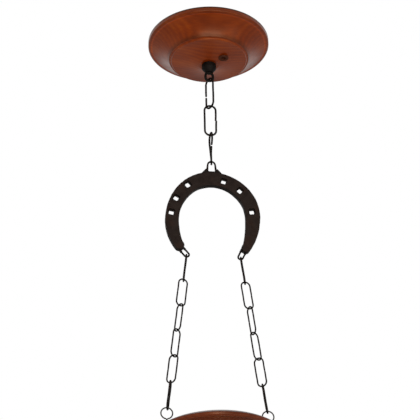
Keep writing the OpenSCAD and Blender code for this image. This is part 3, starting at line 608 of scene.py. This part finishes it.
def make_canopy():
    """The ceiling canopy, turned outside and hollowed inside, with its cord hole."""
    foot_z = box("canopy")[0].z
    rim_h, groove_depth, face_r, flat_r = 6.3, 29.5, 54.5, 14
    hollow_r, hollow_side, floor_r, floor_z = 62, 12, 49, box("cord_grommet")[1].z
    profile = (
        turned_under(CANOPY_R, -rim_h, -groove_depth, face_r, flat_r, foot_z)
        + [(M10_HOLE_R, foot_z), (M10_HOLE_R, floor_z), (floor_r, floor_z)]
        + [(hollow_r, -hollow_side), (hollow_r, 0), (CANOPY_R, 0)]
    )
    piece = new_piece("canopy_turned", turned(softened(profile, 0.5), 240), CANOPY_WOOD, "root", 40)
    low, high = box("cord_grommet")
    middle = (low + high) / 2
    sink, sink_r, hole_r, past = 2.5, (high.x - low.x) / 2 + 0.1, 4.5, 1
    hole = turned(
        [(0, foot_z - past), (sink_r, foot_z - past), (sink_r, foot_z + sink),
         (hole_r, foot_z + sink), (hole_r, past), (0, past)], 64,
    )
    combined(piece, moved(hole, Matrix.Translation((middle.x, middle.y, 0))), "DIFFERENCE")
    dressed_inside(piece, floor_z - 0.2, hollow_r + 0.3, -hollow_side - 0.5)
    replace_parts(piece, "canopy")


def dressed_inside(piece, floor_z, wall_r, side_z):
    """Leaves the hollow of the canopy unvarnished: its floor, its slope and its side."""
    upwards = 0.05
    piece.data.materials.append(RAW_WOOD)
    for face in piece.data.polygons:
        where = face.center / MM
        within = where.z > floor_z and hypot(where.x, where.y) < wall_r
        face.material_index = int(within and (face.normal.z > upwards or where.z > side_z))
    piece.data.set_sharp_from_angle(angle=radians(40))


def make_disc():
    """The lower disc, domed above and turned below like the canopy."""
    low, high = box("lamp_disc")
    top, edge_z, edge_h, flat_top_r = high.z, high.z - 6.3, 4, 66.5
    groove_z, face_r, flat_r = high.z - 26, 50, 43.5
    edge_break, dome = 0.8, 0.5
    profile = (
        [(M10_HOLE_R, top)]
        + bow((flat_top_r, top), (DISC_R - edge_break, edge_z), dome, 12)
        + [(DISC_R, edge_z - edge_break)]
        + turned_under(DISC_R, edge_z - edge_h, groove_z, face_r, flat_r, low.z)
        + [(M10_HOLE_R, low.z)]
    )
    shape = turned(softened(profile, 0.6), 240)
    stand_in("lamp_disc", "lamp_disc_turned", shape, DISC_WOOD, "lamp", 40)


make_canopy()
make_disc()


# Chain

# A link has its width, its wire and its length.
UPPER_LINK, SIDE_LINK = (18.3, 2.7, 48.3), (14.0, 2.0, 38.4)
# A butt has its gap, its side and its distance below the middle of the link.
UPPER_BUTTS = [(3.0, -1, 2.8), (0.6, 1, 0), (3.0, 1, 0)]
UPPER_YAWS = [-60, -3, -85]
UPPER_TWISTS = [0, 0, -14]
UPPER_KINKS = [0, 0.5, 0]
SIDE_GAP = 0.6
# A side chain has the yaws of its links, the sides of their butts and its first seed.
SIDE_CHAINS = {
    "left": ([81, 16, -59, 39, -34, 76], [1, -1, 1, 1, -1, 1], 10),
    "right": ([81, 11, -70, 31, -34, 70], [1, 1, -1, 1, 1, -1], 20),
}
SPRING, SPRING_STEP = 0.3, 3.1
SWAY, SWAY_STEP = 0.25, 7.7
WAVE_W, WAVE_L = 9, 14
KINK_REACH = 13
END_TAPER = 0.12


def link_path(link, butt):
    """Centre line of an open link in the XZ plane about its own middle, from end to end of the wire."""
    step = 0.7
    w, wire, length = link
    gap, butt_side, drop = butt
    r = (w - wire) / 2
    half = length / 2 - r
    above, below = gap / 2 - drop, -gap / 2 - drop
    steps = ceil(pi * r / step)
    points = [(r, z) for z in np.linspace(above, half, ceil((half - above) / step) + 1)]
    points += arc((0, half), r, 0, 180, steps)[1:]
    points += [(-r, z) for z in np.linspace(half, -half, ceil(2 * half / step))[1:]]
    points += arc((0, -half), r, 180, 360, steps)[1:]
    points += [(r, z) for z in np.linspace(-half, below, ceil((half + below) / step) + 1)[1:]]
    return [(butt_side * x, 0, z) for x, z in points]


def make_link(node, link, butt, yaw, axis, seed, twist=0.0, kink=0.0):
    """One hand closed wire link, its ends cut with pliers, its legs never quite straight.

    twist, in degrees, turns its lower end about its length. kink sets the two ends of the wire out of line.
    """
    w, wire, length = link
    butt_side, drop = butt[1:]
    low, high = box(node)
    lean = Vector((0, 0, 1)).rotation_difference(axis).to_matrix().to_4x4()
    place = Matrix.Translation((low + high) / 2) @ lean @ Matrix.Rotation(radians(yaw), 4, "Z")
    path = []
    for x, y, z in link_path(link, butt):
        share = max(0.0, 1 - (2 * z / (length - w)) ** 2)
        spring = SPRING * share * noise.noise(Vector((x / WAVE_W, seed * SPRING_STEP, z / WAVE_L)))
        sideways = SWAY * share * noise.noise(Vector((seed * SWAY_STEP, x / WAVE_W, z / WAVE_L)))
        if kink and x * butt_side > 0:
            near = max(0.0, 1 - abs(z + drop) / KINK_REACH)
            spring -= butt_side * kink * near * (1 if z > -drop else -1)
        down = min(1.0, max(0.0, 0.5 - z / (length - w)))
        turn = Matrix.Rotation(radians(twist * down * down * (3 - 2 * down)), 3, "Z")
        path.append(tuple(turn @ Vector((x + spring, y + sideways, z))))
    ends = len(path) - 1
    radii = [wire / 2 * (1 - END_TAPER * max(0, 1 - min(i, ends - i) / 2)) for i in range(ends + 1)]
    shape = roughened(swept(path, radii, 24), size=2.2, depth=0.035, seed=seed)
    stand_in(node, node + "_wire", moved(shape, place), WIRE_IRON, node, 60)


def make_chains():
    """The three upper links and the two side chains of six."""
    up = Vector((0, 0, 1))
    for k, butt in enumerate(UPPER_BUTTS):
        node = f"upper_link_{k + 1}"
        make_link(node, UPPER_LINK, butt, UPPER_YAWS[k], up, k, UPPER_TWISTS[k], UPPER_KINKS[k])
    for side, (yaws, butt_sides, first_seed) in SIDE_CHAINS.items():
        first, last = (sum(box(f"{side}_link_{k}"), Vector()) / 2 for k in (1, 6))
        axis = (first - last).normalized()
        for k, (yaw, butt_side) in enumerate(zip(yaws, butt_sides)):
            butt = (SIDE_GAP, butt_side, 0)
            make_link(f"{side}_link_{k + 1}", SIDE_LINK, butt, yaw, axis, first_seed + k)


make_chains()


# Horseshoe and its welded wire

TOE_Z = box("horseshoe")[1].z


def make_horseshoe():
    """The forged shoe: soft worn edges, hammer marks and punched nail holes."""
    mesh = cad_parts["horseshoe"].data.copy()
    voxel, smoothing, blows = 0.55, 5, [(16, 0.28, 1), (4, 0.06, 2)]
    forged("horseshoe", "horseshoe_forged", mesh, voxel, smoothing, blows, SHOE_IRON, "horseshoe")


def bead(centre, size, seed):
    """A small lump of weld metal."""
    ball = turned([(max(0, r), z) for r, z in arc((0, 0), 1, -90, 90, 12)], 20, closed=False)
    lump = moved(ball, Matrix.Translation(centre) @ Matrix.Diagonal((*size, 1)))
    return roughened(lump, size=1.6, depth=0.35, seed=seed)


def welded(node, beads, name, bent=None):
    """A welded wire piece of the horseshoe with its beads run into one skin, its wire bent by hand."""
    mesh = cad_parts[node].data
    verts = [tuple(v.co / MM) for v in mesh.vertices]
    if bent:
        verts = [bent(v) for v in verts]
    verts, faces = joined((verts, [tuple(p.vertices) for p in mesh.polygons]), *beads)
    merged, index, seen = [], [], {}
    for v in map(Vector, verts):
        key = tuple(round(c, 4) for c in v)
        if key not in seen:
            seen[key] = len(merged)
            merged.append(tuple(v))
        index.append(seen[key])
    faces = [tuple(index[i] for i in face) for face in faces]
    mesh = mesh_from((merged, [face for face in faces if len(set(face)) > 2]), name)
    voxel, smoothing, blows = 0.3, 3, [(3, 0.07, len(name))]
    forged(node, name, mesh, voxel, smoothing, blows, WIRE_IRON, "horseshoe")


def make_staple():
    """The staple on the toe, between two rows of weld beads."""
    high = box("toe_staple")[1]
    half_w, inset, rise, fall, count = 7, 1.5, 2.2, 0.9, 5
    foot_h, spread, draw, blend_w = 2.5, 0.45, 0.75, 4
    beads = []
    for side in (-1, 1):
        for k in range(count):
            x = side * (half_w - inset + (high.x - half_w) * k / count)
            z = TOE_Z + rise - fall * k
            beads.append(bead((x, 0, z), (2.1, 2.9 - 0.15 * k, 1.9), k + 3 * side))

    def pointed(v):
        """Draws the arch in towards its top and spreads the feet."""
        x, y, z = v
        if z <= TOE_Z + foot_h:
            return v
        up = min(1.0, max(0.0, (z - TOE_Z - foot_h) / (high.z - TOE_Z - foot_h)))
        push = spread * cos(pi * up) - draw * sin(pi * up) ** 2 * up
        return x + push * max(-1.0, min(1.0, x / blend_w)), y, z

    welded("toe_staple", beads, "toe_staple_welded", pointed)


def make_heel_loops():
    """The loops on the heels, with weld beads where their legs lie on the iron."""
    heel_x, heel_drop, loop_r = 35.9, 126, 3.25
    first, step, margin = 7.5, 1.7, 1
    for side, node, lean in ((-1, "left_heel_loop", 40), (1, "right_heel_loop", 25)):
        low, high = box(node)
        turn = Matrix.Rotation(radians(side * lean), 4, "Y")
        end = Vector((side * heel_x, 0, TOE_Z - heel_drop))
        beads = []
        for leg in (-1, 1):
            for k in range(4):
                centre = end + turn @ Vector((leg * loop_r, 0, first + step * k))
                if low.x + margin < centre.x < high.x - margin and centre.z < high.z - margin:
                    beads.append(bead(centre, (1.7, 1.9, 1.6), 5 * k + leg))
        welded(node, beads, node + "_welded")


make_horseshoe()
make_staple()
make_heel_loops()


def make_hanging_eye():
    """The black collar under the canopy with its cast eye."""
    low, high = box("hanging_eye")
    top, collar_r, socket_z = high.z, 10, high.z - 8
    neck_z, neck_r, fillet = top - 11, 5.5, 1.3
    side_end, slope_w, slope_end = neck_z + 4.4, 2.2, neck_z + 1.8
    eye_r, wire, side_h, yaw = 5.4, 3.6, 3.0, 7
    eye_z = low.z + eye_r + wire / 2
    eye_top = eye_z + side_h + eye_r
    profile = [
        (M10_HOLE_R, top), (collar_r, top), (collar_r, side_end), (collar_r - slope_w, slope_end),
        (neck_r + fillet, neck_z), (neck_r, neck_z - fillet), (neck_r, eye_top), (0, eye_top),
        (0, socket_z), (M10_HOLE_R, socket_z),
    ]
    collar = turned(softened(profile, 0.8), 72)
    line = arc((0, eye_z + side_h), eye_r, 0, 180, 40) + arc((0, eye_z), eye_r, 180, 360, 40)
    line.append((eye_r, eye_z + side_h + 0.5))
    ring = swept([(x, 0, z) for x, z in line], wire / 2, 24)
    shape = joined(collar, moved(ring, Matrix.Rotation(radians(yaw), 4, "Z")))
    mesh = mesh_from(shape, "hanging_eye_cast")
    voxel, smoothing, blows = 0.35, 3, [(5, 0.08, 4)]
    forged("hanging_eye", "hanging_eye_cast", mesh, voxel, smoothing, blows, WIRE_IRON, "root")


make_hanging_eye()


# Screw eyes, threads and nuts

M10_PITCH, M10_THREAD = 1.0, 0.55
STEM_BORE_R, NIPPLE_BORE_R = 3.2, 3.25
NUT_ACROSS, NUT_H, WASHER_R = 17, 4.5, 12


def thread(pitch, depth, z_low, z_high):
    """Moves the points of a turned rod to cut a helical thread between two heights."""

    def cut(r, z, a):
        if not z_low < z < z_high:
            return r, z
        phase = (z / pitch - a / (2 * pi)) % 1
        run_out = min(1.0, (z - z_low) / pitch, (z_high - z) / pitch)
        return r - depth * run_out * abs(2 * phase - 1), z

    return cut


def rod(r, z_low, z_high, bore=0.0, step=0.2):
    """Half profile of a rod or tube with enough rings to carry a thread."""
    rings = [(r, z) for z in np.linspace(z_high, z_low, max(2, ceil((z_high - z_low) / step)))]
    chamfer = min(0.5, r / 4)
    outside = [(r - chamfer, z_high)] + rings[1:-1] + [(r - chamfer, z_low)]
    return outside + [(bore, z_low), (bore, z_high)]


def make_screw_eye(node):
    """A screw eye bent from one wire, with its thread running into the wood."""
    low, high = box(node)
    x = (low.x + high.x) / 2
    ring_wire, gap, shank_r = 1.7, 8, 1.2
    pitch, depth, thread_top = 1.0, 0.32, DISC_TOP + 5
    ring_r = (high.x - low.x - ring_wire) / 2
    ring_z = high.z - ring_r - ring_wire / 2
    bend = [
        (ring_r * sin(radians(a)), 0, -ring_r * cos(radians(a)))
        for a in np.linspace(gap, 360 - gap, 90)
    ]
    ring = moved(swept(bend, ring_wire / 2), Matrix.Translation((x, 0, ring_z)))
    shank = rod(shank_r, low.z, ring_z - ring_r, step=0.12)
    shank = turned(shank, 32, thread(pitch, depth, low.z, thread_top))
    shape = joined(ring, moved(shank, Matrix.Translation((x, 0, 0))))
    stand_in(node, node + "_bent", shape, EYE_STEEL, "lamp", 50)


def hex_nut(z):
    """A hexagon nut for an M10 thread, turned off at its corners, from height z upwards."""
    flat = NUT_ACROSS / 2
    corner = flat / cos(pi / 6)
    bore, top = M10_HOLE_R, z + NUT_H
    bore_chamfer, inset = 0.4, 0.2

    def hexagon(r, z_here, a):
        limit = flat / cos((a + pi / 6) % (pi / 3) - pi / 6)
        return min(r, limit), z_here

    slope = 0.55 * (corner - flat)
    steps = np.linspace(0, 1, 6)
    lower = [(bore, bore_chamfer), (bore + bore_chamfer, 0)]
    lower += [(flat - inset + (corner - flat + inset) * t, slope * t * t) for t in steps]
    profile = [(r, z + h) for r, h in lower] + [(r, top - h) for r, h in reversed(lower)]
    return turned(profile, 120, hexagon)


def m10_tube(node, bore):
    """The shape of a threaded tube in the place of a CAD node."""
    low, high = box(node)
    return turned(rod(M10_R, low.z, high.z, bore), 64, thread(M10_PITCH, M10_THREAD, low.z, high.z))


def make_threaded_parts():
    """The stem with its nuts, and the nipple with its washer and nut."""
    stem = m10_tube("threaded_stem", STEM_BORE_R)
    stand_in("threaded_stem", "threaded_stem_m10", stem, ZINC, "root", 50)
    low, high = box("stem_nuts")
    nuts = joined(hex_nut(low.z), hex_nut(high.z - NUT_H))
    stand_in("stem_nuts", "stem_hexagon_nuts", nuts, ZINC, "root")
    stand_in("nipple", "nipple_m10", m10_tube("nipple", NIPPLE_BORE_R), BRASS, "lamp", 50)
    stand_in("nipple_nut", "nipple_hexagon_nut", hex_nut(box("nipple_nut")[0].z), ZINC, "lamp")
    low, high = box("nipple_washer")
    washer = turned(softened(tube(M10_HOLE_R, WASHER_R, low.z, high.z), 0.35))
    stand_in("nipple_washer", "nipple_washer_turned", washer, ZINC, "lamp")


make_screw_eye("left_screw_eye")
make_screw_eye("right_screw_eye")
make_threaded_parts()


# Gallery, shade, lampholder and bulb

THUMB_Z = (box("thumbscrew_1")[0].z + box("thumbscrew_1")[1].z) / 2
HOLDER_R, HOLDER_BORE_R = 19.5, 17


def at_thumb(k):
    """Transform from a screw along Z at the origin to thumbscrew k, pointing outwards."""
    turn = Matrix.Rotation(radians(120 * k - 30), 4, "Z")
    return turn @ Matrix.Translation((0, 0, THUMB_Z)) @ Matrix.Rotation(radians(90), 4, "Y")


def make_gallery():
    """The spun brass gallery with a rolled edge and three bosses."""
    low, high = box("shade_gallery")
    r_in, r_out, plate, bead_r = 42.5, 43.5, 1.0, 1.1
    round_out, round_in = 2, 1
    boss_r, boss_start, boss_end = 4.5, r_in + 0.6, 47.5
    hole_r, hole_start, hole_end = 2.05, r_in - 1, r_in + 1.2
    profile = (
        [(M10_HOLE_R, high.z), (r_out - round_out, high.z)]
        + arc((r_out - round_out, high.z - round_out), round_out, 90, 0, 8)
        + arc(((r_in + r_out) / 2, low.z + bead_r), bead_r, 50, -230, 20)
        + arc((r_in - round_in, high.z - plate - round_in), round_in, 0, 90, 6)
        + [(M10_HOLE_R, high.z - plate)]
    )
    piece = new_piece("shade_gallery_spun", turned(profile, 180), OLD_BRASS, "lamp", 50)
    boss = turned(softened(tube(hole_r, boss_r, boss_start, boss_end), 0.5), 48)
    hole = turned(tube(0, hole_r, hole_start, hole_end), 32)
    for k in (1, 2, 3):
        combined(piece, moved(boss, at_thumb(k)), "UNION")
        combined(piece, moved(hole, at_thumb(k)), "DIFFERENCE")
    dressed(piece, OLD_BRASS, "lamp", 40)
    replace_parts(piece, "shade_gallery")


def make_thumbscrew(k):
    """A brass thumbscrew with a knurled head."""
    tip, shaft_r, pitch, depth = 38.8, 2, 0.7, 0.3
    head, head_r, head_end = 47.8, 6.0, 47.8 + 5.0
    dish_r, dish_floor_r, dish_z = 3.2, 2.6, head_end - 0.5
    teeth, tooth_h = 24, 0.45
    shaft = rod(shaft_r, tip, head, step=0.1)
    shaft = turned(shaft, 40, thread(pitch, depth, tip + 0.3, head - 0.8))

    def knurl(r, z, a):
        if r < head_r * 0.8:
            return r, z
        return r - tooth_h * ridge(teeth * a) * (r / head_r), z

    outline = softened([(0, head), (head_r, head), (head_r, head_end), (dish_r, head_end),
                        (dish_floor_r, dish_z), (0, dish_z)], 0.7)
    grip = turned([(max(0, r), z) for r, z in outline], 240, knurl)
    node = f"thumbscrew_{k}"
    stand_in(node, node + "_knurled", moved(joined(shaft, grip), at_thumb(k)), BRASS, node, 45)


def make_shade():
    """The opal bell: a straight neck with a lip, a round shoulder and a flared mouth."""
    top = box("glass_shade")[1].z
    neck_r, neck_h, lip_r, lip_h, lip_slope = 38.5, 20, 40.5, 4, 1
    bell_r, mouth_r, bell_h, glass_t = 69, 89, 123, 3
    shoulder_end, flare_start, flare_power = 0.55, 0.3, 2.2
    nearby = 0.005

    def bell(s):
        swell = (bell_r - neck_r) * sin(radians(90 * min(s / shoulder_end, 1)))
        flare = (mouth_r - bell_r) * max(0, (s - flare_start) / (1 - flare_start)) ** flare_power
        return np.array([neck_r + swell + flare, top - neck_h - bell_h * s])

    outside, inside = [], []
    for s in np.linspace(0, 1, 61):
        run = bell(s + nearby) - bell(s - nearby)
        normal = np.array([-run[1], run[0]]) / np.linalg.norm(run)
        outside.append(tuple(bell(s)))
        inside.append(tuple(bell(s) - glass_t * normal))
    lip = [(lip_r, top), (lip_r, top - lip_h), (neck_r, top - lip_h - lip_slope)]
    profile = softened([(neck_r - glass_t, top)] + lip + outside + inside[::-1], 1.2, 6)
    stand_in("glass_shade", "glass_shade_blown", turned(profile, 240), OPAL, "lamp", 60)


def make_holder_shell():
    """The black cap and the fluted skirt of the lampholder."""
    low, high = box("holder_cap")
    neck_r, neck_h, slope, roof_t = 9.05, 7, 3, 2.5
    roof = high.z - neck_h
    cap = [
        (M10_HOLE_R, high.z), (neck_r, high.z), (neck_r, high.z - neck_h / 2),
        (HOLDER_R - slope, roof), (HOLDER_R, roof - slope), (HOLDER_R, low.z),
        (HOLDER_BORE_R, low.z), (HOLDER_BORE_R, roof - (slope + roof_t)),
        (HOLDER_BORE_R - slope, roof - roof_t), (M10_HOLE_R, roof - roof_t),
    ]
    stand_in("holder_cap", "holder_cap_moulded", turned(softened(cap, 1.2), 120), PHENOLIC, "lamp")
    low, high = box("holder_skirt")
    plain_h, flute_count, flute_depth = 4, 32, 0.55

    def flutes(r, z, a):
        if r < HOLDER_R - 0.1 or not low.z + plain_h < z < high.z - plain_h:
            return r, z
        return r - flute_depth * ridge(flute_count * a) ** 2, z

    skirt = [(HOLDER_R - 0.5, high.z)]
    skirt += [(HOLDER_R, z) for z in np.linspace(high.z, low.z, 24)[1:-1]]
    skirt += [(HOLDER_R - 0.6, low.z), (HOLDER_BORE_R, low.z), (HOLDER_BORE_R, high.z)]
    stand_in("holder_skirt", "holder_skirt_fluted", turned(skirt, 192, flutes), PHENOLIC, "lamp")


def make_holder_inside():
    """The porcelain, the rolled screw shell and the sprung contact of the lampholder."""
    low, high = box("holder_insulator")
    disc_r, seat_r, seat_floor_r, seat_z = 16.95, 6, 5, low.z + 0.6
    disc = softened([(0, high.z), (disc_r, high.z), (disc_r, low.z), (seat_r, low.z),
                     (seat_floor_r, seat_z), (0, seat_z)], 0.6)
    shape = turned([(max(0, r), z) for r, z in disc])
    stand_in("holder_insulator", "holder_porcelain", shape, PORCELAIN, "lamp")
    low, high = box("screw_shell")
    shell_r, shell_t, wave_depth, wave_pitch = 14.2, 0.6, 0.35, 3.6

    def wave(r, z, a):
        return r - wave_depth * ridge(2 * pi * z / wave_pitch - a), z

    outer = [(shell_r, z) for z in np.linspace(high.z, low.z, 60)]
    inner = [(shell_r - shell_t + wave_depth * 0.6, z) for z in np.linspace(low.z, high.z, 60)]
    stand_in("screw_shell", "screw_shell_rolled", turned(outer + inner, 96, wave), BRASS, "lamp")
    low, high = box("centre_contact")
    rim_r, rim_t = 3.9, 0.5
    contact = [(0, high.z), (rim_r, high.z), (rim_r, high.z - rim_t)]
    contact += bow((3, high.z - 0.7), (0, low.z), -0.3, 6)
    stand_in("centre_contact", "centre_contact_sprung", turned(contact, 48), BRASS, "lamp")


def make_bulb():
    """A frosted bulb with its rolled screw cap."""
    low, high = box("bulb_cap")
    cap_r, pitch, depth, wall = 13.2, 3.62, 0.8, 1
    top_w, side_end = 2.4, high.z - 1.6
    bore = cap_r - depth - wall

    def rolled(r, z, a):
        if r < bore + 0.5 or not low.z + 3 < z < high.z - 2:
            return r, z
        return r - depth * ridge(2 * pi * z / pitch - a), z

    cap = [(0, high.z), (cap_r - top_w, high.z)]
    cap += [(cap_r, z) for z in np.linspace(side_end, low.z, 90)]
    cap += [(bore, low.z), (bore, high.z - wall), (0, high.z - wall)]
    stand_in("bulb_cap", "bulb_cap_rolled", turned(cap, 96, rolled), ALUMINIUM, "bulb", 50)

    seat = low.z
    low, high = box("bulb_glass")
    r = (high.x - low.x) / 2
    middle = (0, low.z + r)
    neck_r, wall, neck_sag = 11.35, 0.8, 1.5
    neck_angle, ball_angle = 32, 28
    outside = bow((cap_r, seat), on_circle(middle, r, neck_angle), -neck_sag, 14)
    outside += arc(middle, r, ball_angle, -90, 40)
    inside = arc(middle, r - wall, -90, ball_angle, 40)
    inside += bow(on_circle(middle, r - wall, neck_angle), (neck_r - wall, seat), neck_sag, 14)
    glass = [(neck_r, high.z), (neck_r, seat)] + outside + inside + [(neck_r - wall, high.z)]
    glass = turned([(max(0, x), z) for x, z in glass], 120)
    stand_in("bulb_glass", "bulb_glass_blown", glass, FROST, "bulb", 50)


def make_bulb_contact():
    """The black glass at the end of the bulb's cap and the drop of solder on it."""
    low, high = box("bulb_insulator")
    vitrite = [(0, high.z), (5, high.z), (10.2, low.z), (0, low.z)]
    stand_in("bulb_insulator", "bulb_vitrite", turned(vitrite, 64), PHENOLIC, "bulb")
    low, high = box("bulb_tip")
    tip_r, side_r = 3.6, 4
    tip = [(0, low.z), (tip_r, low.z), (side_r, low.z + 0.4)]
    tip += bow((tip_r, low.z + 1.0), (0, high.z), -0.25, 6)
    stand_in("bulb_tip", "bulb_tip_soldered", turned(tip, 48), ZINC, "bulb")


make_gallery()
for number in (1, 2, 3):
    make_thumbscrew(number)
make_shade()
make_holder_shell()
make_holder_inside()
make_bulb()
make_bulb_contact()


# Fittings that keep their CAD shape, with their edges broken


def broken_edges(node, material, width):
    """Keeps a CAD node, with small bevels on its sharp edges."""
    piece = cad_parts[node]
    piece.data.materials.clear()
    piece.data.materials.append(material)
    weld = piece.modifiers.new("weld", "WELD")
    weld.merge_threshold = 0.00001
    flat = piece.modifiers.new("flat", "DECIMATE")
    flat.decimate_type = "DISSOLVE"
    flat.angle_limit = radians(0.5)
    edge = piece.modifiers.new("edge", "BEVEL")
    edge.width = width * MM
    edge.segments = 2
    edge.limit_method = "ANGLE"
    edge.angle_limit = radians(35)


for cad_node, finish, edge_width in (
    ("ceiling_crossbar", ZINC, 0.35), ("terminal_block", NYLON, 0.6), ("terminal_clamps", BRASS, 0.25),
    ("terminal_screws", ZINC, 0.2), ("block_screws", ZINC, 0.3), ("earth_screw", BRASS, 0.3),
    ("cord_grommet", RUBBER, 0.4), ("cord_gland", PHENOLIC, 0.5),
):
    broken_edges(cad_node, finish, edge_width)


# Floor, light and camera, with sizes and places in metres and power in watts

WORLD_LIGHT, WHITE = 0.5, 1.0
FLOOR_SIZE, FLOOR_Z, FLOOR_LIFT = 120.0, -3.0, 0.16
LAMP_MIDDLE, CANOPY_FOOT = (0, 0, -0.3), (0, 0, -0.03)
SOFTBOXES = [
    ("key_light", (-0.3, -2.1, -0.1), LAMP_MIDDLE, (0.6, 0.6), 13),
    ("front_light", (0.0, -1.95, -1.42), CANOPY_FOOT, (2.2, 0.35), 28),
    ("right_light", (1.6, -1.2, -1.5), LAMP_MIDDLE, (1.4, 1.4), 9),
    ("left_light", (-2.2, 0.2, -1.0), LAMP_MIDDLE, (1.4, 1.4), 2),
]


def seen_directly(tree):
    """1 for what the camera, a reflection or a view through glass shows, 0 for light on the object."""
    path = tree.nodes.new("ShaderNodeLightPath")
    value = path.outputs["Is Camera Ray"]
    for ray in ("Is Glossy Ray", "Is Transmission Ray"):
        either = tree.nodes.new("ShaderNodeMath")
        either.operation = "MAXIMUM"
        tree.links.new(value, either.inputs[0])
        tree.links.new(path.outputs[ray], either.inputs[1])
        value = either.outputs["Value"]
    return value


def make_world():
    """Soft even light, seen as plain white."""
    world = bpy.data.worlds.new("studio")
    bpy.context.scene.world = world
    world.use_nodes = True
    nodes, links = world.node_tree.nodes, world.node_tree.links
    light, white = nodes["Background"], nodes.new("ShaderNodeBackground")
    for shader, strength in ((light, WORLD_LIGHT), (white, WHITE)):
        set_inputs(shader, {"Color": (1, 1, 1, 1), "Strength": strength})
    choose = nodes.new("ShaderNodeMixShader")
    links.new(seen_directly(world.node_tree), choose.inputs["Fac"])
    links.new(light.outputs["Background"], choose.inputs[1])
    links.new(white.outputs["Background"], choose.inputs[2])
    links.new(choose.outputs["Shader"], nodes["World Output"].inputs["Surface"])


def make_floor():
    """A plain pale floor, one storey below the ceiling."""
    half = FLOOR_SIZE / 2
    mesh = bpy.data.meshes.new("floor")
    corners = [(x * half, y * half, FLOOR_Z) for x, y in ((-1, -1), (1, -1), (1, 1), (-1, 1))]
    mesh.from_pydata(corners, [], [(0, 1, 2, 3)])
    paint = bpy.data.materials.new("floor_paint")
    paint.use_nodes = True
    surface = paint.node_tree.nodes["Principled BSDF"]
    pale, white = (0.95, 0.95, 0.94, 1), (1, 1, 1, 1)
    set_inputs(surface, {"Base Color": pale, "Roughness": 0.9, "Emission Color": white})
    lift = paint.node_tree.nodes.new("ShaderNodeMath")
    lift.operation = "MULTIPLY"
    set_inputs(lift, {1: FLOOR_LIFT})
    paint.node_tree.links.new(seen_directly(paint.node_tree), lift.inputs[0])
    paint.node_tree.links.new(lift.outputs["Value"], surface.inputs["Emission Strength"])
    mesh.materials.append(paint)
    added("floor", mesh)


def make_softbox(name, place, target, size, power):
    """A softbox, size its width and height, aimed at a point."""
    data = bpy.data.lights.new(name, "AREA")
    data.shape = "RECTANGLE"
    data.size, data.size_y = size
    data.energy = power
    softbox = added(name, data)
    softbox.location = place
    softbox.rotation_euler = (Vector(target) - Vector(place)).to_track_quat("-Z", "Y").to_euler()


def make_camera():
    """The photograph's viewpoint: below the lamp, a little to its left, slightly tilted."""
    azimuth, elevation, roll, distance = radians(-9.15), radians(29.39), radians(-1.38), 2.0238
    target = Vector((-0.00344, 0, -0.27376))
    back = Vector((sin(azimuth) * cos(elevation), -cos(azimuth) * cos(elevation), -sin(elevation)))
    data = bpy.data.cameras.new("camera")
    data.sensor_width = 36
    data.lens = 129.81
    data.clip_start = 0.05
    camera = added("camera", data)
    camera.location = target + back * distance
    look = (-back).to_track_quat("-Z", "Y").to_matrix()
    camera.rotation_euler = (look @ Matrix.Rotation(roll, 3, "Z")).to_euler()
    bpy.context.scene.camera = camera


make_world()
make_floor()
for softbox_values in SOFTBOXES:
    make_softbox(*softbox_values)
make_camera()
bpy.context.scene.view_settings.view_transform = "Standard"
